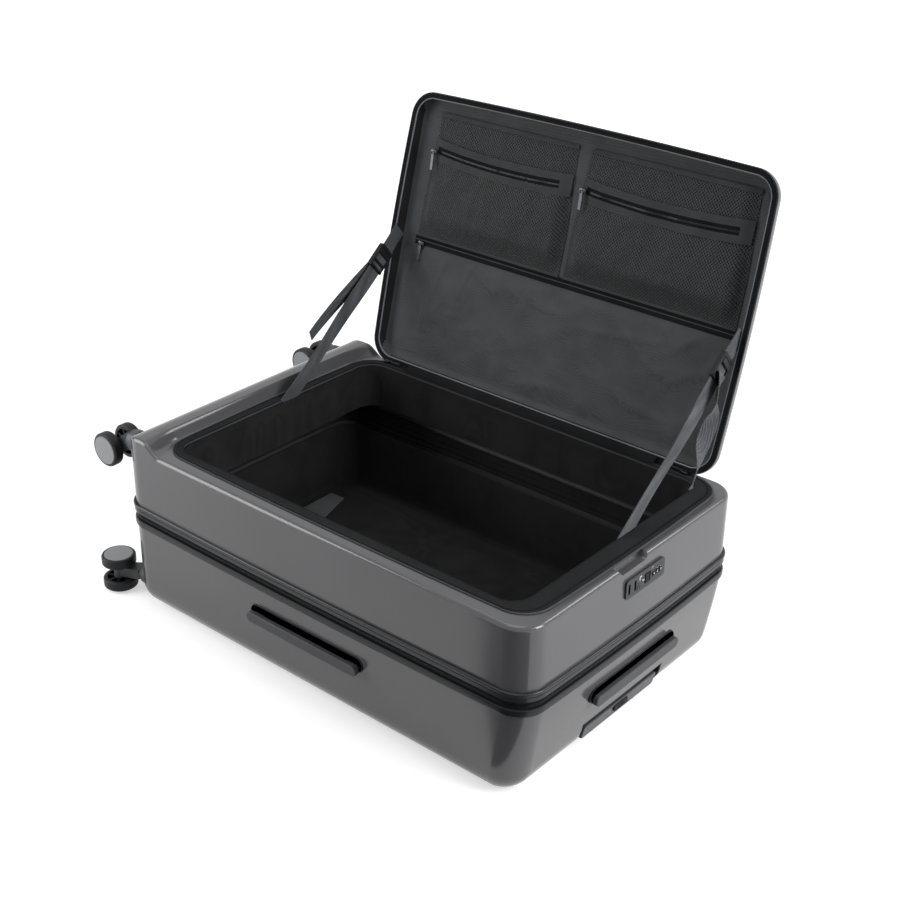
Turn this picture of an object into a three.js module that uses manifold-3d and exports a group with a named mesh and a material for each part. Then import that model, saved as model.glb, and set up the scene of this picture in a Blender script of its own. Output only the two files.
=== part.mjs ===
// A large hard-shell suitcase on four double casters, lying on its back with its lid standing open.
// X runs from the wheel end (-) to the handle end (+), Y towards the lid's hinge, Z up through the case.
// The origin is the middle of the flat back that it lies on. All lengths are in millimetres.
import * as THREE from 'three';
import Module from 'manifold-3d';
import { mergeVertices } from 'three/addons/utils/BufferGeometryUtils.js';

const wasm = await Module();
wasm.setup();

// Case
const shellLength = 700;
const shellWidth = 444;
const shellWall = 2.5;
const cornerRadius = 36;
const sideBow = 3;
const rearDepth = 130;
const frontDepth = 90;
const backFillet = 34;
const handleEndTaper = 21;
const taperCurve = 1.2;
const rimFillet = 9;
const smallestCorner = 10;
const seat = 0.3;

// The band between the two shells: a trim on each shell and a zip that lets the case grow
const rearTrimHeight = 11;
const frontTrimHeight = 8;
const trimWidth = 9;
const trimStand = 3;
const zipTapeHeight = 4.5;
const zipTapeDepth = 3;
const seamHeight = 2.6;
const seamDepth = 1.5;
const gussetHeight = 30;

// Wheel-end ridge, rounded over at its outer edge
const ridgeRise = 15.5;
const ridgeRound = 34;
const ridgeTopLength = 44;
const ridgeFootGap = 1;

// Lid and the opening that it closes
const lidWheelInset = 62;
const lidHandleInset = 34;
const lidHeight = 404;
const lidDepth = 22;
const lidFillet = 17;
const lidEdgeInset = 0.5;
const lidDraft = 1;
const lidTapeThickness = 1;
const lidCornerRadius = 38;
const hingeMargin = 14;
const openAngle = 105;
const openingLip = 9;
const openingMargin = 2;
const openingHandleMargin = 20;
const zipTapeThickness = 1.5;

// Linings
const liningWall = 1.2;
const liningGap = 1;
const sideLiningInset = 20;
const wheelLiningInset = 15;
const handleLiningInset = 24;
const liningCornerRadius = 30;
const liningFloorGap = 2;
const liningFloorDraw = 8;
const liningFloorRound = 5;
const rearLiningStand = 2;
const frontLiningDrop = 22;

// Packing straps, from one corner of the lining's floor
const strapCornerInset = [49, 80];
const longStrapLength = 300;
const longStrapTurn = -72;
const shortStrapLength = 250;
const shortStrapTurn = -88;

// Carry handles
const sideHandleLength = 206;
const topHandleLength = 188;
const handleHeight = 15;
const handleThickness = 7;
const handleStand = 12;
const handleLevel = 89;
const handleBayHeight = 34;
const handleBayMargin = 8;
const handleBayDepth = 17;
const handleBayWall = 2;
const handleLegWidth = 16;
const handleLegHeight = 9;
const bayStand = 1;

// Pull-out trolley
const rodSpacing = 136;
const rodWidth = 20;
const rodHeight = 12;
const tubeWall = 1.5;
const rodClearance = 0.4;
const trolleyLevel = 17;
const footLength = 14;
const footMargin = 2;
const rodEndGap = 60;
const gripLength = 164;
const gripHeight = 27;
const gripThickness = 22;
const gripInset = 20;
const gripLift = 11;
const gripRadius = 8;
const cupMargin = 5;
const cupDepth = 38;
const cupWall = 2.2;
const buttonLength = 30;
const buttonHeight = 9;
const buttonDepth = 7;
const buttonStand = 3;
const buttonRadius = 3;
const buttonTravel = 2.5;

// Combination lock
const lockLength = 82;
const lockHeight = 26;
const lockPlate = 2;
const lockBodyDepth = 14;
const lockBodyMargin = 3;
const lockPlateRadius = 5;
const lockBodyRadius = 3;
const lockLevel = 220;
const lockShift = 6;
const pullSlotWidth = 4;
const pullSlotHeight = 15;
const pullSlotDepth = 9;
const pullSlotInsets = [6.5, 19];
const dialRadius = 8;
const dialWidth = 4.4;
const dialPitch = 7;
const dialStand = 1.2;
const dialMargin = 7;
const lockSliderLength = 8;
const lockSliderTravel = 4;
const lockSliderHeight = 13;
const lockSliderShift = 2;
const lockSliderStand = 1.2;
const lockSliderDepth = 3.7;
const lockSliderRadius = 1.5;
const notchLength = 50;
const notchDepth = 8;
const notchFlare = 8;
const notchShift = -16;

// Casters
const casterInset = 30;
const casterReach = 40;
const casterTrail = 20;
const wheelRadius = 24.5;
const wheelWidth = 14.5;
const wheelGap = 22;
const axleRadius = 3;
const axleClearance = 0.3;
const swivelRadius = 14;
const swivelThickness = 6;
const hubRadius = 9;
const forkNeckWidth = 15;
const wheelEndWall = 3;
const capInset = 5;
const treadInset = 4;
const tyreRound = 1.5;
const bossRadius = 16;
const bossStand = 3;
const rearCasterDrop = 2;
const frontCasterDrop = 10;
const housingWidth = 66;
const housingHeight = 80;
const housingSkin = 6;
const housingTopReach = 12;
const housingSideReach = 8;
const housingShoulder = 24;

// Lid fittings
const webbingWidth = 25;
const webbingThickness = 1.5;
const stayReach = 190;
const stayFootDrop = 8;
const buckleLength = 38;
const buckleWidth = 32;
const buckleThickness = 7;
const buckleDrop = 24;
const pocketTop = 375;
const pocketBottom = 197;
const pocketGap = 8;
const pocketWheelInset = 38;
const pocketHandleInset = 24;
const pocketShift = 2;
const pocketThin = 4;
const pocketThick = 11;
const pocketHem = 12;
const pocketBulge = 45;
const pocketZipLevel = 320;
const liningZipLevel = 189;
const zipSliderLength = 11;
const zipSliderWidth = 8;
const zipSliderHeight = 4;
const zipPullLength = 26;
const zipPullWidth = 5;
const zipPullThickness = 2;
const zipPullLap = 0.5;
const zipEndMargin = 4;
const hingeStripLength = 440;
const hingeStripShift = 3;
const hingeStripReach = 8;
const hingeStripWall = 1.2;

// How far a cutting solid runs past what it cuts
const beyond = 60;

const roundSteps = 16;
const cornerSteps = 5;
const smallSteps = 3;
const sideSteps = 2;
const filletSteps = 3;

const graphite = { color: 0x6c6d6f, roughness: 0.35, metalness: 0.35 };
const blackPlastic = { color: 0x26272a, roughness: 0.5, metalness: 0 };
const greyPlastic = { color: 0x4d4e50, roughness: 0.45, metalness: 0 };
const blackFabric = { color: 0x1c1c1e, roughness: 0.9, metalness: 0 };
const liningFabric = { color: 0x333437, roughness: 0.85, metalness: 0 };
const rubber = { color: 0x1a1a1b, roughness: 0.8, metalness: 0 };
const steel = { color: 0xb9bbbe, roughness: 0.3, metalness: 1 };
const aluminium = { color: 0xa9abad, roughness: 0.35, metalness: 1 };

const model = new THREE.Group();

const rad = (degrees) => THREE.MathUtils.degToRad(degrees);

function place(group, name, geometry, look, position = [0, 0, 0]) {
  const mesh = new THREE.Mesh(geometry, new THREE.MeshStandardMaterial(look));
  mesh.name = name;
  mesh.position.set(...position);
  group.add(mesh);
  return mesh;
}

// ---- Shape helpers ----

// A rounded rectangle, counter-clockwise from above. bow is how far each side swells: +X, +Y, -X, -Y.
function outline(box, radius, bow = [0, 0, 0, 0]) {
  const [x0, x1, y0, y1] = box;
  const corners = [
    [x1 - radius, y0 + radius, -90],
    [x1 - radius, y1 - radius, 0],
    [x0 + radius, y1 - radius, 90],
    [x0 + radius, y0 + radius, 180],
  ];
  const points = [];
  corners.forEach(([cx, cy, start], side) => {
    for (let i = 0; i <= cornerSteps; i += 1) {
      const angle = rad(start + (90 * i) / cornerSteps);
      points.push([cx + radius * Math.cos(angle), cy + radius * Math.sin(angle)]);
    }
    const [nx, ny, next] = corners[(side + 1) % 4];
    const from = points[points.length - 1];
    const to = [nx + radius * Math.cos(rad(next)), ny + radius * Math.sin(rad(next))];
    const outward = [Math.cos(rad(start + 90)), Math.sin(rad(start + 90))];
    for (let i = 1; i < sideSteps; i += 1) {
      const t = i / sideSteps;
      const swell = bow[side] * 4 * t * (1 - t);
      points.push([
        from[0] + (to[0] - from[0]) * t + outward[0] * swell,
        from[1] + (to[1] - from[1]) * t + outward[1] * swell,
      ]);
    }
  });
  return points;
}

// Skins a stack of outlines. A loop closes on its first outline, a stack is capped at both ends.
function loft(rings, loop = false) {
  const count = rings[0].points.length;
  const positions = [];
  for (const { points, z } of rings) {
    for (const [x, y] of points) positions.push(x, y, z);
  }
  const index = [];
  const bands = loop ? rings.length : rings.length - 1;
  for (let k = 0; k < bands; k += 1) {
    const a = k * count;
    const b = ((k + 1) % rings.length) * count;
    for (let i = 0; i < count; i += 1) {
      const j = (i + 1) % count;
      index.push(a + i, a + j, b + j, a + i, b + j, b + i);
    }
  }
  if (!loop) {
    for (const end of [0, rings.length - 1]) {
      const { points, z } = rings[end];
      const centre = positions.length / 3;
      const sum = points.reduce(([sx, sy], [x, y]) => [sx + x, sy + y], [0, 0]);
      positions.push(sum[0] / count, sum[1] / count, z);
      for (let i = 0; i < count; i += 1) {
        const a = end * count + i;
        const b = end * count + ((i + 1) % count);
        if (end === 0) index.push(centre, b, a);
        else index.push(centre, a, b);
      }
    }
  }
  const geometry = new THREE.BufferGeometry();
  geometry.setAttribute('position', new THREE.Float32BufferAttribute(positions, 3));
  geometry.setIndex(index);
  geometry.computeVertexNormals();
  return geometry;
}

function solid(geometry) {
  const bare = geometry.clone();
  bare.deleteAttribute('normal');
  bare.deleteAttribute('uv');
  const merged = mergeVertices(bare, 1e-3);
  return new wasm.Manifold(new wasm.Mesh({
    numProp: 3,
    vertProperties: Float32Array.from(merged.attributes.position.array),
    triVerts: Uint32Array.from(merged.index.array),
  }));
}

function skin(body) {
  const mesh = body.getMesh();
  const geometry = new THREE.BufferGeometry();
  geometry.setAttribute('position', new THREE.BufferAttribute(mesh.vertProperties, 3));
  geometry.setIndex(new THREE.BufferAttribute(mesh.triVerts, 1));
  geometry.computeVertexNormals();
  return geometry;
}

function block(x0, x1, y0, y1, z0, z1) {
  const geometry = new THREE.BoxGeometry(x1 - x0, y1 - y0, z1 - z0);
  return geometry.translate((x0 + x1) / 2, (y0 + y1) / 2, (z0 + z1) / 2);
}

function roundedShape(length, height, radius) {
  const shape = new THREE.Shape();
  const a = length / 2 - radius;
  const b = height / 2 - radius;
  shape.absarc(a, -b, radius, rad(-90), 0);
  shape.absarc(a, b, radius, 0, rad(90));
  shape.absarc(-a, b, radius, rad(90), rad(180));
  shape.absarc(-a, -b, radius, rad(180), rad(270));
  return shape;
}

function polygon(points) {
  return new THREE.Shape(points.map(([x, y]) => new THREE.Vector2(x, y)));
}

function extrude(shape, depth) {
  return new THREE.ExtrudeGeometry(shape, { depth, bevelEnabled: false, curveSegments: smallSteps });
}

// Turns a shape drawn in (Y, Z) and extruded along its own depth so that it runs along +X.
const alongX = (geometry) => geometry.rotateY(rad(90)).rotateX(rad(90));

// Turns a shape drawn in (X, Z) and extruded along its own depth so that it runs along -Y.
const alongY = (geometry) => geometry.rotateX(rad(90));

function cylinderAlong(axis, radius, length) {
  const geometry = new THREE.CylinderGeometry(radius, radius, length, roundSteps);
  return axis === 'x' ? geometry.rotateZ(rad(90)) : geometry;
}

// ---- Levels that follow from the driving sizes ----

const rearTrimBase = rearDepth + seat;
const rearTrimTop = rearTrimBase + rearTrimHeight;
const rearTapeTop = rearTrimTop + seat + zipTapeHeight;
const frontTapeTop = rearTapeTop + seat + zipTapeHeight;
const frontTrimBase = frontTapeTop + seat;
const frontTrimTop = frontTrimBase + frontTrimHeight;
const frontBase = frontTrimTop + seamHeight + seat;
const rimLevel = frontBase + frontDepth;
const hingeLevel = rimLevel + seat + zipTapeThickness + seat;
const hingeY = shellWidth / 2 - hingeMargin;
const ridgeLevel = rimLevel + ridgeRise;
const wheelEnd = -shellLength / 2;
const handleEnd = shellLength / 2;
const nearSide = -shellWidth / 2;
const gripFace = handleEnd - gripInset;
const lidStart = wheelEnd + lidWheelInset;
const lidEnd = handleEnd - lidHandleInset;
const lidMiddle = (lidStart + lidEnd) / 2;

// ---- Shells ----

function rearOutline(z, inset) {
  const share = Math.max(0, 1 - z / rearDepth);
  const taper = handleEndTaper * share ** taperCurve;
  const half = shellWidth / 2 - inset;
  const bow = sideBow * (1 - share);
  const radius = Math.max(cornerRadius - inset, smallestCorner);
  return outline([wheelEnd + inset, handleEnd - taper - inset, -half, half], radius, [bow, bow, bow, bow]);
}

function rearRings(offset, top) {
  const radius = backFillet - offset;
  const rings = [];
  for (let i = 0; i <= filletSteps; i += 1) {
    const angle = rad((90 * i) / filletSteps);
    const z = offset + radius * (1 - Math.cos(angle));
    const inset = offset + radius * (1 - Math.sin(angle));
    rings.push({ points: rearOutline(z, inset), z });
  }
  for (const share of [0.5, 1]) {
    const z = backFillet + (top - backFillet) * share;
    rings.push({ points: rearOutline(z, offset), z });
  }
  return rings;
}

function frontOutline(z, inset) {
  const share = Math.max(0, (rimLevel - z) / (rimLevel - frontBase));
  const half = shellWidth / 2 - inset;
  const bow = sideBow * share;
  const radius = Math.max(cornerRadius - inset, smallestCorner);
  return outline([wheelEnd + inset, handleEnd - inset, -half, half], radius, [bow, bow, bow, bow]);
}

// The lid's outline in the case's frame, swollen or drawn in by inset. Its hinge side is straight.
function lidOutline(inset, shift = 0) {
  const box = [lidStart + inset, lidEnd - inset, hingeY - lidHeight + inset + shift, hingeY - inset + shift];
  return outline(box, lidCornerRadius - inset, [sideBow, 0, sideBow, sideBow]);
}

const rearOuter = solid(loft(rearRings(0, rearDepth)));
const rearWall = solid(loft([...rearRings(0, rearDepth), ...rearRings(shellWall, rearDepth).reverse()]));

function frontOuterRings(top, fillet) {
  const rings = [{ points: frontOutline(frontBase, 0), z: frontBase }];
  for (let i = 0; i <= filletSteps; i += 1) {
    const angle = rad((90 * i) / filletSteps);
    const z = top - fillet * (1 - Math.sin(angle));
    rings.push({ points: frontOutline(Math.min(z, rimLevel), fillet * (1 - Math.cos(angle))), z });
  }
  return rings;
}

const openingEdge = (inset) => lidOutline(openingLip + inset);

const frontFrame = solid(loft([
  ...frontOuterRings(rimLevel, rimFillet),
  { points: openingEdge(0), z: rimLevel },
  { points: openingEdge(0), z: rimLevel - shellWall },
  { points: frontOutline(rimLevel, rimFillet), z: rimLevel - shellWall },
  { points: frontOutline(rimLevel - rimFillet, shellWall), z: rimLevel - rimFillet },
  { points: frontOutline(frontBase, shellWall), z: frontBase },
], true));

// The ridge in side view, drawn in by inset, from below the rim to its top.
function ridgeProfile(inset) {
  const base = ridgeLevel - ridgeRound - rimFillet;
  const top = ridgeLevel - inset;
  const start = wheelEnd - shellWall;
  const crest = wheelEnd + ridgeTopLength - inset;
  const foot = lidStart - openingMargin - sideBow - ridgeFootGap - inset;
  const points = [[start, base], [foot, base], [foot, rimLevel - inset]];
  const rise = top - (rimLevel - inset);
  for (let i = 1; i <= filletSteps * 2; i += 1) {
    const t = i / (filletSteps * 2);
    points.push([foot + (crest - foot) * t, rimLevel - inset + rise * (t * t * (3 - 2 * t))]);
  }
  const round = ridgeRound - inset;
  for (let i = 0; i <= filletSteps * 2; i += 1) {
    const angle = rad(90 * i / (filletSteps * 2));
    points.push([wheelEnd + inset + round * (1 - Math.sin(angle)), top - round * (1 - Math.cos(angle))]);
  }
  return polygon(points);
}

function ridge(inset) {
  const prism = alongY(extrude(ridgeProfile(inset), shellWidth * 2)).translate(0, shellWidth, 0);
  const rings = frontOuterRings(ridgeLevel, rimFillet).map(({ z }, i, all) => {
    const grow = i === 0 ? 0 : rimFillet * (1 - Math.cos(rad((90 * (i - 1)) / (all.length - 2))));
    const level = i === 0 ? rimLevel - 2 * rimFillet : z - inset;
    return { points: frontOutline(rimLevel, grow + inset), z: level };
  });
  return solid(prism).intersect(solid(loft(rings)));
}

// A caster housing's cutter: seen from the side, a wedge that wraps the corner of the shell.
function housingWedge(level, up, grow, far) {
  const reach = (x, z) => [wheelEnd + x, level - up * z];
  const points = [
    reach(-beyond, -beyond),
    reach(housingTopReach + grow, -beyond),
    reach(housingTopReach + grow, -seat),
    reach(housingSideReach + grow, housingShoulder),
    reach(housingSideReach / 2 + grow, housingHeight + grow),
    reach(-beyond, housingHeight + grow),
  ];
  if (up < 0) points.reverse();
  const width = housingWidth + grow;
  const prism = alongY(extrude(polygon(points), width + beyond));
  return solid(prism.translate(0, far ? shellWidth / 2 + beyond : nearSide + width, 0));
}

const frontCasterLevel = rimLevel - frontCasterDrop;
const rearCasterLevel = casterInset - rearCasterDrop;
const casterY = shellWidth / 2 - casterInset;

function stadium(length, height) {
  return roundedShape(length, height, height / 2);
}

// ---- Carry-handle bays, cut through the rear shell ----

const bay = (length) => ({
  length: length + 2 * handleBayMargin,
  height: handleBayHeight,
});
const sideBay = bay(sideHandleLength);
const topBay = bay(topHandleLength);
const handleShare = 1 - handleLevel / rearDepth;
const sideSurface = nearSide - sideBow * (1 - handleShare);
const topSurface = handleEnd - handleEndTaper * handleShare ** taperCurve + sideBow * (1 - handleShare);

// A prism through the near side, between two depths measured inward from the surface.
function sidePrism(shape, from, to) {
  const prism = alongY(extrude(shape, to - from));
  return solid(prism.translate(0, sideSurface + to, handleLevel));
}

// A prism through the handle end, between two depths measured inward from the surface.
function topPrism(shape, from, to, level = handleLevel, surface = topSurface) {
  return solid(alongX(extrude(shape, to - from)).translate(surface - to, 0, level));
}

const grow = (size, by) => [size.length + 2 * by, size.height + 2 * by];

const rearStand = solid(loft(rearRings(-bayStand, rearDepth)));

const sideBayBody = sidePrism(stadium(...grow(sideBay, 0)), -beyond, handleBayDepth).intersect(rearStand);
const sideBayHollow = sidePrism(stadium(...grow(sideBay, -handleBayWall)), -beyond,
  handleBayDepth - handleBayWall);
place(model, 'side_handle_housing', skin(sideBayBody.subtract(sideBayHollow)), blackPlastic);

const topBayBody = topPrism(stadium(...grow(topBay, 0)), -beyond, handleBayDepth).intersect(rearStand);
const topBayHollow = topPrism(stadium(...grow(topBay, -handleBayWall)), -beyond,
  handleBayDepth - handleBayWall);
place(model, 'top_handle_housing', skin(topBayBody.subtract(topBayHollow)), blackPlastic);

// The bar stands off its bay on two legs that run down to the floor of the bay.
function handleGrip(length) {
  const barStart = handleStand - handleThickness;
  const bar = extrude(stadium(length, handleHeight), handleThickness).translate(0, 0, barStart);
  const legEnd = -(handleBayDepth - handleBayWall - seat);
  const legTop = handleStand - handleThickness / 2;
  const legCentre = length / 2 - handleLegWidth;
  let grip = solid(bar);
  for (const side of [-1, 1]) {
    const x = side * legCentre;
    const half = handleLegWidth / 2;
    const tall = handleLegHeight / 2;
    grip = grip.add(solid(block(x - half, x + half, -tall, tall, legEnd, legTop)));
  }
  return skin(grip);
}

const sideGrip = handleGrip(sideHandleLength).rotateX(rad(90)).translate(0, sideSurface, handleLevel);
place(model, 'side_handle_grip', sideGrip, greyPlastic);
const topGrip = alongX(handleGrip(topHandleLength)).translate(topSurface, 0, handleLevel);
place(model, 'top_handle_grip', topGrip, greyPlastic);

// ---- Trolley ----

const tubeWidth = rodWidth + 2 * (rodClearance + tubeWall);
const tubeHeight = rodHeight + 2 * (rodClearance + tubeWall);
const cupLength = gripLength + 2 * cupMargin;
const cupTop = trolleyLevel + gripLift + gripHeight / 2 + cupMargin;
const cupBack = gripFace - cupDepth;
const cupBox = (by, wall) => solid(block(
  cupBack + wall, handleEnd + beyond,
  -cupLength / 2 - by + wall, cupLength / 2 + by - wall,
  -beyond, cupTop + by - wall,
));
const rodPassage = (side, by) => solid(block(
  cupBack - beyond, gripFace,
  side * rodSpacing / 2 - rodWidth / 2 - by, side * rodSpacing / 2 + rodWidth / 2 + by,
  trolleyLevel - rodHeight / 2 - by, trolleyLevel + rodHeight / 2 + by,
));

let cup = cupBox(-seat, 0).intersect(rearOuter).subtract(cupBox(-seat, cupWall));
for (const side of [-1, 1]) cup = cup.subtract(rodPassage(side, rodClearance));
place(model, 'trolley_cup', skin(cup), blackPlastic);

const footStart = wheelEnd + backFillet + footMargin;
const tubeStart = footStart + footLength;
const tubeEnd = cupBack - seat;
const rodStart = tubeStart + rodEndGap;
const rodEnd = gripFace - gripThickness - seat;
for (const [side, name] of [[-1, 'near'], [1, 'far']]) {
  const tubeShape = polygon([
    [-tubeWidth / 2, -tubeHeight / 2], [tubeWidth / 2, -tubeHeight / 2],
    [tubeWidth / 2, tubeHeight / 2], [-tubeWidth / 2, tubeHeight / 2],
  ]);
  const hollowWidth = tubeWidth / 2 - tubeWall;
  const hollowHeight = tubeHeight / 2 - tubeWall;
  tubeShape.holes.push(new THREE.Path([
    [-hollowWidth, -hollowHeight], [-hollowWidth, hollowHeight],
    [hollowWidth, hollowHeight], [hollowWidth, -hollowHeight],
  ].map(([x, y]) => new THREE.Vector2(x, y))));
  const y = side * rodSpacing / 2;
  const tube = alongX(extrude(tubeShape, tubeEnd - tubeStart)).translate(tubeStart, y, trolleyLevel);
  place(model, `trolley_tube_${name}`, tube, aluminium);
  const rod = block(rodStart, rodEnd, y - rodWidth / 2, y + rodWidth / 2,
    trolleyLevel - rodHeight / 2, trolleyLevel + rodHeight / 2);
  place(model, `trolley_rod_${name}`, rod, aluminium);
}

// The foot ties the lower ends of both tubes together on the back of the case.
const tubeEdge = rodSpacing / 2 + tubeWidth / 2;
const foot = solid(block(footStart, tubeStart - seat, -tubeEdge, tubeEdge,
  shellWall + seat, trolleyLevel + tubeHeight / 2));
place(model, 'trolley_foot', skin(foot), blackPlastic);

const gripLevel = trolleyLevel + gripLift;
const gripShape = roundedShape(gripLength, gripHeight, gripRadius);
const gripSolid = topPrism(gripShape, 0, gripThickness, gripLevel, gripFace);
const buttonRoom = roundedShape(buttonLength + 2 * seat, buttonHeight + 2 * seat, buttonRadius);
const pocketDepth = buttonDepth - buttonStand + buttonTravel + seat;
const buttonPocket = topPrism(buttonRoom, -beyond, pocketDepth, gripLevel, gripFace);
place(model, 'trolley_grip', skin(gripSolid.subtract(buttonPocket)), greyPlastic);
const button = topPrism(roundedShape(buttonLength, buttonHeight, buttonRadius), -buttonStand,
  buttonDepth - buttonStand, gripLevel, gripFace);
place(model, 'trolley_button', skin(button), blackPlastic);

// ---- Rear shell, its housings and its lining ----

const rearCutters = [
  sidePrism(stadium(...grow(sideBay, seat)), -beyond, beyond),
  topPrism(stadium(...grow(topBay, seat)), -beyond, beyond),
  cupBox(0, 0),
  housingWedge(0, -1, seat, false),
  housingWedge(0, -1, seat, true),
];
let rearShell = rearWall;
for (const cutter of rearCutters) rearShell = rearShell.subtract(cutter);
place(model, 'rear_shell', skin(rearShell), graphite);

const rearCore = solid(loft(rearRings(housingSkin, rearDepth)));
const tubeRoom = solid(block(footStart - seat, handleEnd, -tubeEdge - seat, tubeEdge + seat,
  0, trolleyLevel + tubeHeight / 2 + seat));

// A round boss on the housing's end face carries the swivel.
function boss(y, level) {
  const length = bossStand + housingSkin;
  const x = wheelEnd - bossStand + length / 2;
  return solid(cylinderAlong('x', bossRadius, length).translate(x, y, level));
}

for (const [side, name] of [[-1, 'near'], [1, 'far']]) {
  const wedge = housingWedge(0, -1, 0, side > 0);
  const swivelBoss = boss(side * casterY, rearCasterLevel);
  const housing = rearOuter.intersect(wedge).subtract(rearCore).subtract(tubeRoom).add(swivelBoss);
  place(model, `caster_housing_rear_${name}`, skin(housing), blackPlastic);
}

// A band of trim or tape around the case, standing out of the shell by stand.
function band(base, height, stand, width) {
  const ring = (z, inset) => ({ points: frontOutline(frontBase, inset), z });
  return loft([
    ring(base, -stand), ring(base + height, -stand),
    ring(base + height, width - stand), ring(base, width - stand),
  ], true);
}

place(model, 'rear_trim', band(rearTrimBase, rearTrimHeight, trimStand, trimWidth), graphite);
place(model, 'rear_zip_tape', band(rearTrimTop + seat, zipTapeHeight, 0, zipTapeDepth), blackFabric);
place(model, 'expansion_gusset', band(rearTrimBase, gussetHeight, -trimWidth + trimStand - seat, liningWall),
  blackFabric);

const rearLiningTop = rearDepth + rearLiningStand;
const liningFloor = trolleyLevel + tubeHeight / 2 + liningFloorGap;
const cupInset = handleEnd - cupBack + seat;
// Each level of the rear lining: its height and how far it stays off the handle end.
const liningLevels = [
  [liningFloor, cupInset + liningFloorDraw],
  [liningFloor + liningFloorRound, cupInset],
  [cupTop + seat, cupInset],
  [rearLiningTop, handleLiningInset],
];
const rearLiningRings = (offset, shift) => liningLevels.map(([z, endInset], i) => {
  const draw = i === 0 ? liningFloorDraw : 0;
  const side = shellWidth / 2 - sideLiningInset - draw - offset;
  const start = wheelEnd + wheelLiningInset + draw + offset;
  const level = i < liningLevels.length - 1 ? z + shift : z;
  const radius = liningCornerRadius - offset;
  return { points: outline([start, handleEnd - endInset - offset, -side, side], radius), z: level };
});
place(model, 'rear_lining', loft([
  ...rearLiningRings(0, 0), ...rearLiningRings(liningWall, liningWall).reverse(),
]), liningFabric);

// Two webbing bands lie over the lining at the wheel end, joined where they cross.
const strapLevel = liningFloor + liningWall + seat;
const strapCorner = [wheelEnd + strapCornerInset[0], shellWidth / 2 - strapCornerInset[1]];
const packingStrap = (length, turn) => {
  const strap = block(0, length, -webbingWidth / 2, webbingWidth / 2, 0, webbingThickness);
  return solid(strap.rotateZ(rad(turn)).translate(...strapCorner, strapLevel));
};
const longStrap = packingStrap(longStrapLength, longStrapTurn);
const shortStrap = packingStrap(shortStrapLength, shortStrapTurn);
place(model, 'packing_straps', skin(longStrap.add(shortStrap)), blackFabric);

// ---- Front case ----

const frontCase = new THREE.Group();
model.add(frontCase);

// A shallow trough across the rim above the lock, its ends flaring upwards.
const notch = (by) => solid(alongX(extrude(polygon([
  [-notchLength / 2 + by - notchFlare, shellWall], [-notchLength / 2 - by, -notchDepth - by],
  [notchLength / 2 + by, -notchDepth - by], [notchLength / 2 - by + notchFlare, shellWall],
]), beyond)).translate(lidEnd + openingHandleMargin + seat - by, notchShift, rimLevel));
const frontBody = solid(loft(frontOuterRings(rimLevel, rimFillet)));
const lockBodyLength = lockLength - 2 * lockBodyMargin;
const lockBodyHeight = lockHeight - 2 * lockBodyMargin;
const lockRoom = roundedShape(lockBodyLength + 2 * seat, lockBodyHeight + 2 * seat, lockBodyRadius);
const lockHole = topPrism(lockRoom, -beyond, beyond, lockLevel, handleEnd).translate(0, lockShift, 0);

let frontShell = frontFrame.add(ridge(0)).subtract(ridge(shellWall));
frontShell = frontShell.add(notch(shellWall).intersect(frontBody)).subtract(notch(0));
frontShell = frontShell.subtract(lockHole);
for (const far of [false, true]) frontShell = frontShell.subtract(housingWedge(ridgeLevel, 1, seat, far));
place(frontCase, 'front_shell', skin(frontShell), graphite);

const frontSolid = frontBody.add(ridge(0));
const frontCore = solid(loft([
  { points: frontOutline(frontBase, housingSkin), z: frontBase - beyond },
  { points: frontOutline(frontBase, housingSkin), z: rimLevel - housingSkin },
]));
for (const [side, name] of [[-1, 'near'], [1, 'far']]) {
  const wedge = housingWedge(ridgeLevel, 1, 0, side > 0);
  const housing = frontSolid.intersect(wedge).subtract(frontCore);
  place(frontCase, `caster_housing_front_${name}`,
    skin(housing.add(boss(side * casterY, frontCasterLevel))), blackPlastic);
}

place(frontCase, 'front_zip_tape', band(rearTapeTop + seat, zipTapeHeight, 0, zipTapeDepth), blackFabric);
// The front trim steps in under the shell, which leaves a dark groove all around.
const trimRing = (z, inset) => ({ points: frontOutline(frontBase, inset), z });
place(frontCase, 'front_trim', loft([
  trimRing(frontTrimBase, -trimStand), trimRing(frontTrimTop, -trimStand),
  trimRing(frontTrimTop, seamDepth), trimRing(frontTrimTop + seamHeight, seamDepth),
  trimRing(frontTrimTop + seamHeight, trimWidth - trimStand), trimRing(frontTrimBase, trimWidth - trimStand),
], true), graphite);

const frontLiningBase = frontBase + frontLiningDrop;
const frontLiningTop = rimLevel - shellWall - seat;
const frontLiningOutside = openingEdge(liningGap);
const frontLiningInside = openingEdge(liningGap + liningWall);
place(frontCase, 'front_lining', loft([
  { points: frontLiningOutside, z: frontLiningBase }, { points: frontLiningOutside, z: frontLiningTop },
  { points: frontLiningInside, z: frontLiningTop }, { points: frontLiningInside, z: frontLiningBase },
], true), liningFabric);

// The tape runs out further at the handle end, where it meets the notch above the lock.
const tapeBorder = outline(
  [lidStart - openingMargin, lidEnd + openingHandleMargin, hingeY - lidHeight - openingMargin, hingeY + openingMargin],
  lidCornerRadius + openingMargin, [sideBow, 0, sideBow, sideBow],
);
place(frontCase, 'opening_zip_tape', loft([
  { points: tapeBorder, z: rimLevel + seat },
  { points: tapeBorder, z: rimLevel + seat + zipTapeThickness },
  { points: lidOutline(openingLip), z: rimLevel + seat + zipTapeThickness },
  { points: lidOutline(openingLip), z: rimLevel + seat },
], true), blackFabric);

// ---- Lock ----

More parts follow.
